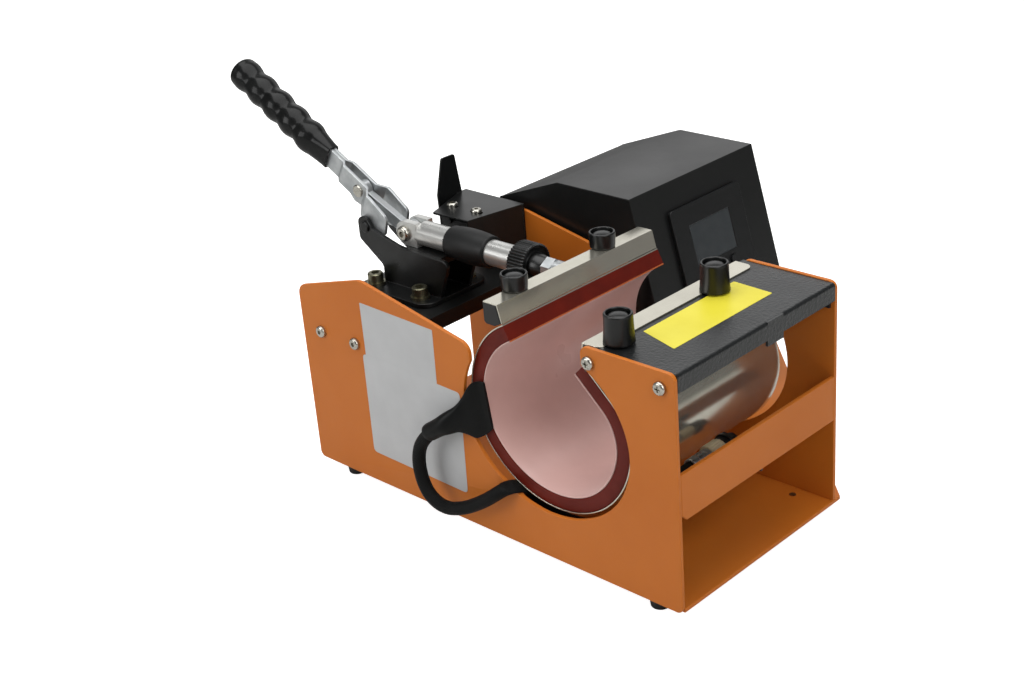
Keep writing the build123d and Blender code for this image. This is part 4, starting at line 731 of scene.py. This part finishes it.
def make_plug():
    """Turned shell with a clamped neck and two grooves, and behind it a fluted locking ring."""
    shell = [(PLUG_Y0, 4.2), (PLUG_Y0, 4.6)] + bend((PLUG_Y0 + 0.6, 4.7), 0.6, 180, 90, 4)
    shell += [(PLUG_Y0 + 4.0, 5.3), (PLUG_Y0 + 4.3, 4.9), (PLUG_Y0 + 5.1, 4.9), (PLUG_Y0 + 5.4, 5.4),
              (PLUG_Y0 + 11.0, 5.4), (PLUG_Y0 + 11.3, 5.0), (PLUG_Y0 + 12.1, 5.0), (PLUG_Y0 + 12.4, 5.4),
              (PLUG_Y1 + 0.4, 5.4), (PLUG_Y1 + 0.4, 4.2)]
    shell.append(shell[0])
    body = turned("plug_shell", [(y - PLUG_Y0, radius) for y, radius in shell],
                  (PLUG_X, PLUG_Y0, PLUG_Z), (0, 1, 0), 48)
    put(body, "frame", plug_shell, ["lead_plug"])
    ring = [(0.0, 5.0), (0.0, 6.0)] + bend((0.7, 6.1), 0.7, 180, 90, 4) + [(5.0, 6.8), (9.6, 6.8)]
    ring += bend((10.3, 6.1), 0.7, 90, 0, 4) + [(11.0, 5.0)]
    ring.append(ring[0])

    def ripple(profile, angle):
        share = np.clip((profile[:, 1:2] - 6.2) / 0.5, 0, 1)
        return -share * 0.35 * (0.5 + 0.5 * np.cos(18 * angle)[None])
    lock = turned("plug_locking_ring", ring, (PLUG_X, PLUG_Y1, PLUG_Z), (0, 1, 0), 144, ripple)
    put(lock, "frame", cream_nylon)


make_plug()


# ---------------------------------------------------------------- stickers
def plate(name, outline, origin, u, v, thickness):
    """A thin flat piece: its outline in the plane of u and v, raised by a thickness along u x v."""
    u, v = np.asarray(u, float), np.asarray(v, float)
    flat = np.asarray(origin, float) + np.asarray(outline)[:, :1] * u + np.asarray(outline)[:, 1:2] * v
    grid = np.stack([flat, flat + np.cross(u, v) * thickness])
    return skin(name, grid)


def round_corners(corners, radius, steps=5):
    """A closed outline of (a, b) corners with each corner rounded by a radius."""
    c = np.asarray(corners, float)
    made = []
    for before, at, after in zip(np.roll(c, 1, 0), c, np.roll(c, -1, 0)):
        i = (before - at) / np.linalg.norm(before - at)
        o = (after - at) / np.linalg.norm(after - at)
        half = math.acos(np.clip(i @ o, -1, 1)) / 2
        cut = radius / math.tan(half)
        for t in np.linspace(0, 1, steps):
            made.append(at + i * cut * (1 - t) ** 2 + o * cut * t ** 2)
    return np.array(made)


STICKER = 0.15
WALL = dict(origin=(0, 0.02, 0), u=(1, 0, 0), v=(0, 0, 1))
for name, corners, radius in (
        ("label_upper", ((59.0, 84.0), (121.0, 84.0), (121.6, 122.0), (58.6, 123.8)), 0.6),
        ("label_lower", ((55.8, 21.3), (138.8, 19.4), (140.0, 86.6), (56.0, 89.2)), 3.0)):
    thick = STICKER * (1.4 if name == "label_lower" else 1.0)
    put(plate(name, round_corners(corners, radius), thickness=thick, **WALL), "frame", pale_label)
put(plate("label_cover", round_corners(((252.5, 33.5), (279.4, 25.8), (279.2, 113.0), (252.0, 114.4)), 0.8),
          (0, 0, COVER_TOP - 0.02), (1, 0, 0), (0, 1, 0), STICKER), "frame", yellow_label)


# ---------------------------------------------------------------- the near wall's rim under the lead
RIM_MIDDLE, RIM_HALF, RIM_X, RIM_LOW, WALL_SHEET = (205.5, 84.0), (62.0, 54.5), (168.0, 198.0), 20.5, 2.5


def make_rim():
    """The wall's sheet under the pressed lead: a thin slab whose top edge follows the cut-out's ellipse."""
    x = np.linspace(*RIM_X, 40)
    z = RIM_MIDDLE[1] - RIM_HALF[1] * np.sqrt(1 - ((x - RIM_MIDDLE[0]) / RIM_HALF[0]) ** 2)
    outline = np.vstack([np.column_stack([x, z]), [(RIM_X[1], RIM_LOW), (RIM_X[0], RIM_LOW)]])[::-1]
    rim = plate("wall_rim", outline, (0, WALL_SHEET - 0.03, 0), (1, 0, 0), (0, 0, 1), WALL_SHEET - 0.06)
    return put(rim, "frame", orange_powder)


make_rim()


# ---------------------------------------------------------------- folded and stamped parts
for node in ("base_plate", "near_wall", "far_wall", "cross_strip"):
    eased(node, 0.45, "frame", orange_powder)
for node in ("control_box_shell", "rear_panel", "switch_bracket", "clamp_carrier"):
    eased(node, 0.4, "frame", black_powder)
dress(grained_powder, "cover_plate")
eased("clamp_base", 0.5, "frame", black_oxide)
eased("display_panel", 0.5, "frame", dark_plastic)
eased("limit_switch", 0.3, "frame", dark_plastic)
eased("socket_brace", 0.3, "frame", black_powder)
for node in ("lever_plate_near", "lever_plate_far"):
    eased(node, 0.35, "handle", zinc)
eased("toggle_link", 0.5, "link", zinc)
eased("plunger_rod", 0.3, "plunger", ground_rod)
eased("moving_bar", 0.4, "plunger", black_powder)
eased("bar_strap", 0.12, "plunger", polished_strip)
eased("cover_strap", 0.12, "frame", polished_strip)
dress(plated_screw, "carrier_screws", "cover_screws", "switch_screws", "plunger_bolt", "lever_rivets")
dress(black_oxide, "handle_pins")
dress(black_screw, "cover_studs", "bar_studs")
dress(ground_rod, "spindle")
dress(zinc, "spindle_nut")
dress(dull_screw, "clamp_bolts", "foot_screws")
dress(window, "display_screen")
dress(key_rubber, "key_down", "key_mode", "key_up")
dress(dark_plastic, "mains_inlet", "fuse_holder", "power_switch", "power_rocker", "limit_switch_button",
      "heater_relay", "lead_socket", "power_supply")
dress(board_green, "controller_board")
dress(brass, "board_spacers")


# ---------------------------------------------------------------- floor, sky and lamps
floor_z = CORNER[2] - FOOT_HEIGHT * MM
FLOOR_HALF = 6.0
floor_corners = [(x * FLOOR_HALF, y * FLOOR_HALF, floor_z) for x, y in ((-1, -1), (1, -1), (1, 1), (-1, 1))]
floor = make_object("floor", floor_corners, [(0, 1, 2, 3)])
if floor.data.polygons[0].normal.z < 0:
    floor.data.flip_normals()
floor_paint = bpy.data.materials.new("white_paper_floor")
floor_paint.use_nodes = True
floor_tree = floor_paint.node_tree
floor_tree.nodes.clear()
paper = add(floor_tree, "BsdfDiffuse", {"Color": tone("D0D0CE")})
lit = add(floor_tree, "Emission", {"Color": tone("FFFFFF"), "Strength": 0.9})
both = add(floor_tree, "AddShader", {0: paper.outputs[0], 1: lit.outputs[0]})
direct = add(floor_tree, "LightPath")
choose = add(floor_tree, "MixShader", {0: direct.outputs["Is Camera Ray"], 1: paper.outputs[0],
                                       2: both.outputs[0]})
add(floor_tree, "OutputMaterial", {"Surface": choose.outputs[0]})
floor.data.materials.append(floor_paint)


def softbox(name, spot, aim, width, height, power):
    """A rectangular soft lamp at a place (drawing mm), turned to shine at another."""
    lamp = bpy.data.lights.new(name, "AREA")
    lamp.shape = "RECTANGLE"
    lamp.size, lamp.size_y, lamp.energy = width, height, power
    obj = bpy.data.objects.new(name, lamp)
    bpy.context.scene.collection.objects.link(obj)
    obj.location = seat(spot)
    away = obj.location - Vector(seat(aim))
    obj.rotation_mode = "QUATERNION"
    obj.rotation_quaternion = away.to_track_quat("Z", "Y")
    return obj


MIDDLE = (170, 110, 70)
softbox("top_softbox", (120, 60, 1300), MIDDLE, 1.4, 1.4, 17)
softbox("right_softbox", (1300, -250, 800), MIDDLE, 0.9, 0.9, 7.0)
softbox("back_softbox", (-900, 1500, 900), MIDDLE, 1.8, 1.1, 5)
softbox("left_softbox", (-500, -1200, 650), MIDDLE, 0.8, 0.8, 7.5)

world = bpy.data.worlds.new("studio")
bpy.context.scene.world = world
world.use_nodes = True
sky = world.node_tree
sky.nodes.clear()
seen = add(sky, "LightPath")
around = add(sky, "Background", {"Color": tone("FFFFFF"), "Strength": 0.16})
behind = add(sky, "Background", {"Color": tone("FFFFFF"), "Strength": 1.0})
choice = add(sky, "MixShader", {0: seen.outputs["Is Camera Ray"], 1: around.outputs[0], 2: behind.outputs[0]})
add(sky, "OutputWorld", {"Surface": choice.outputs[0]})
bpy.context.scene.view_settings.view_transform = "Standard"
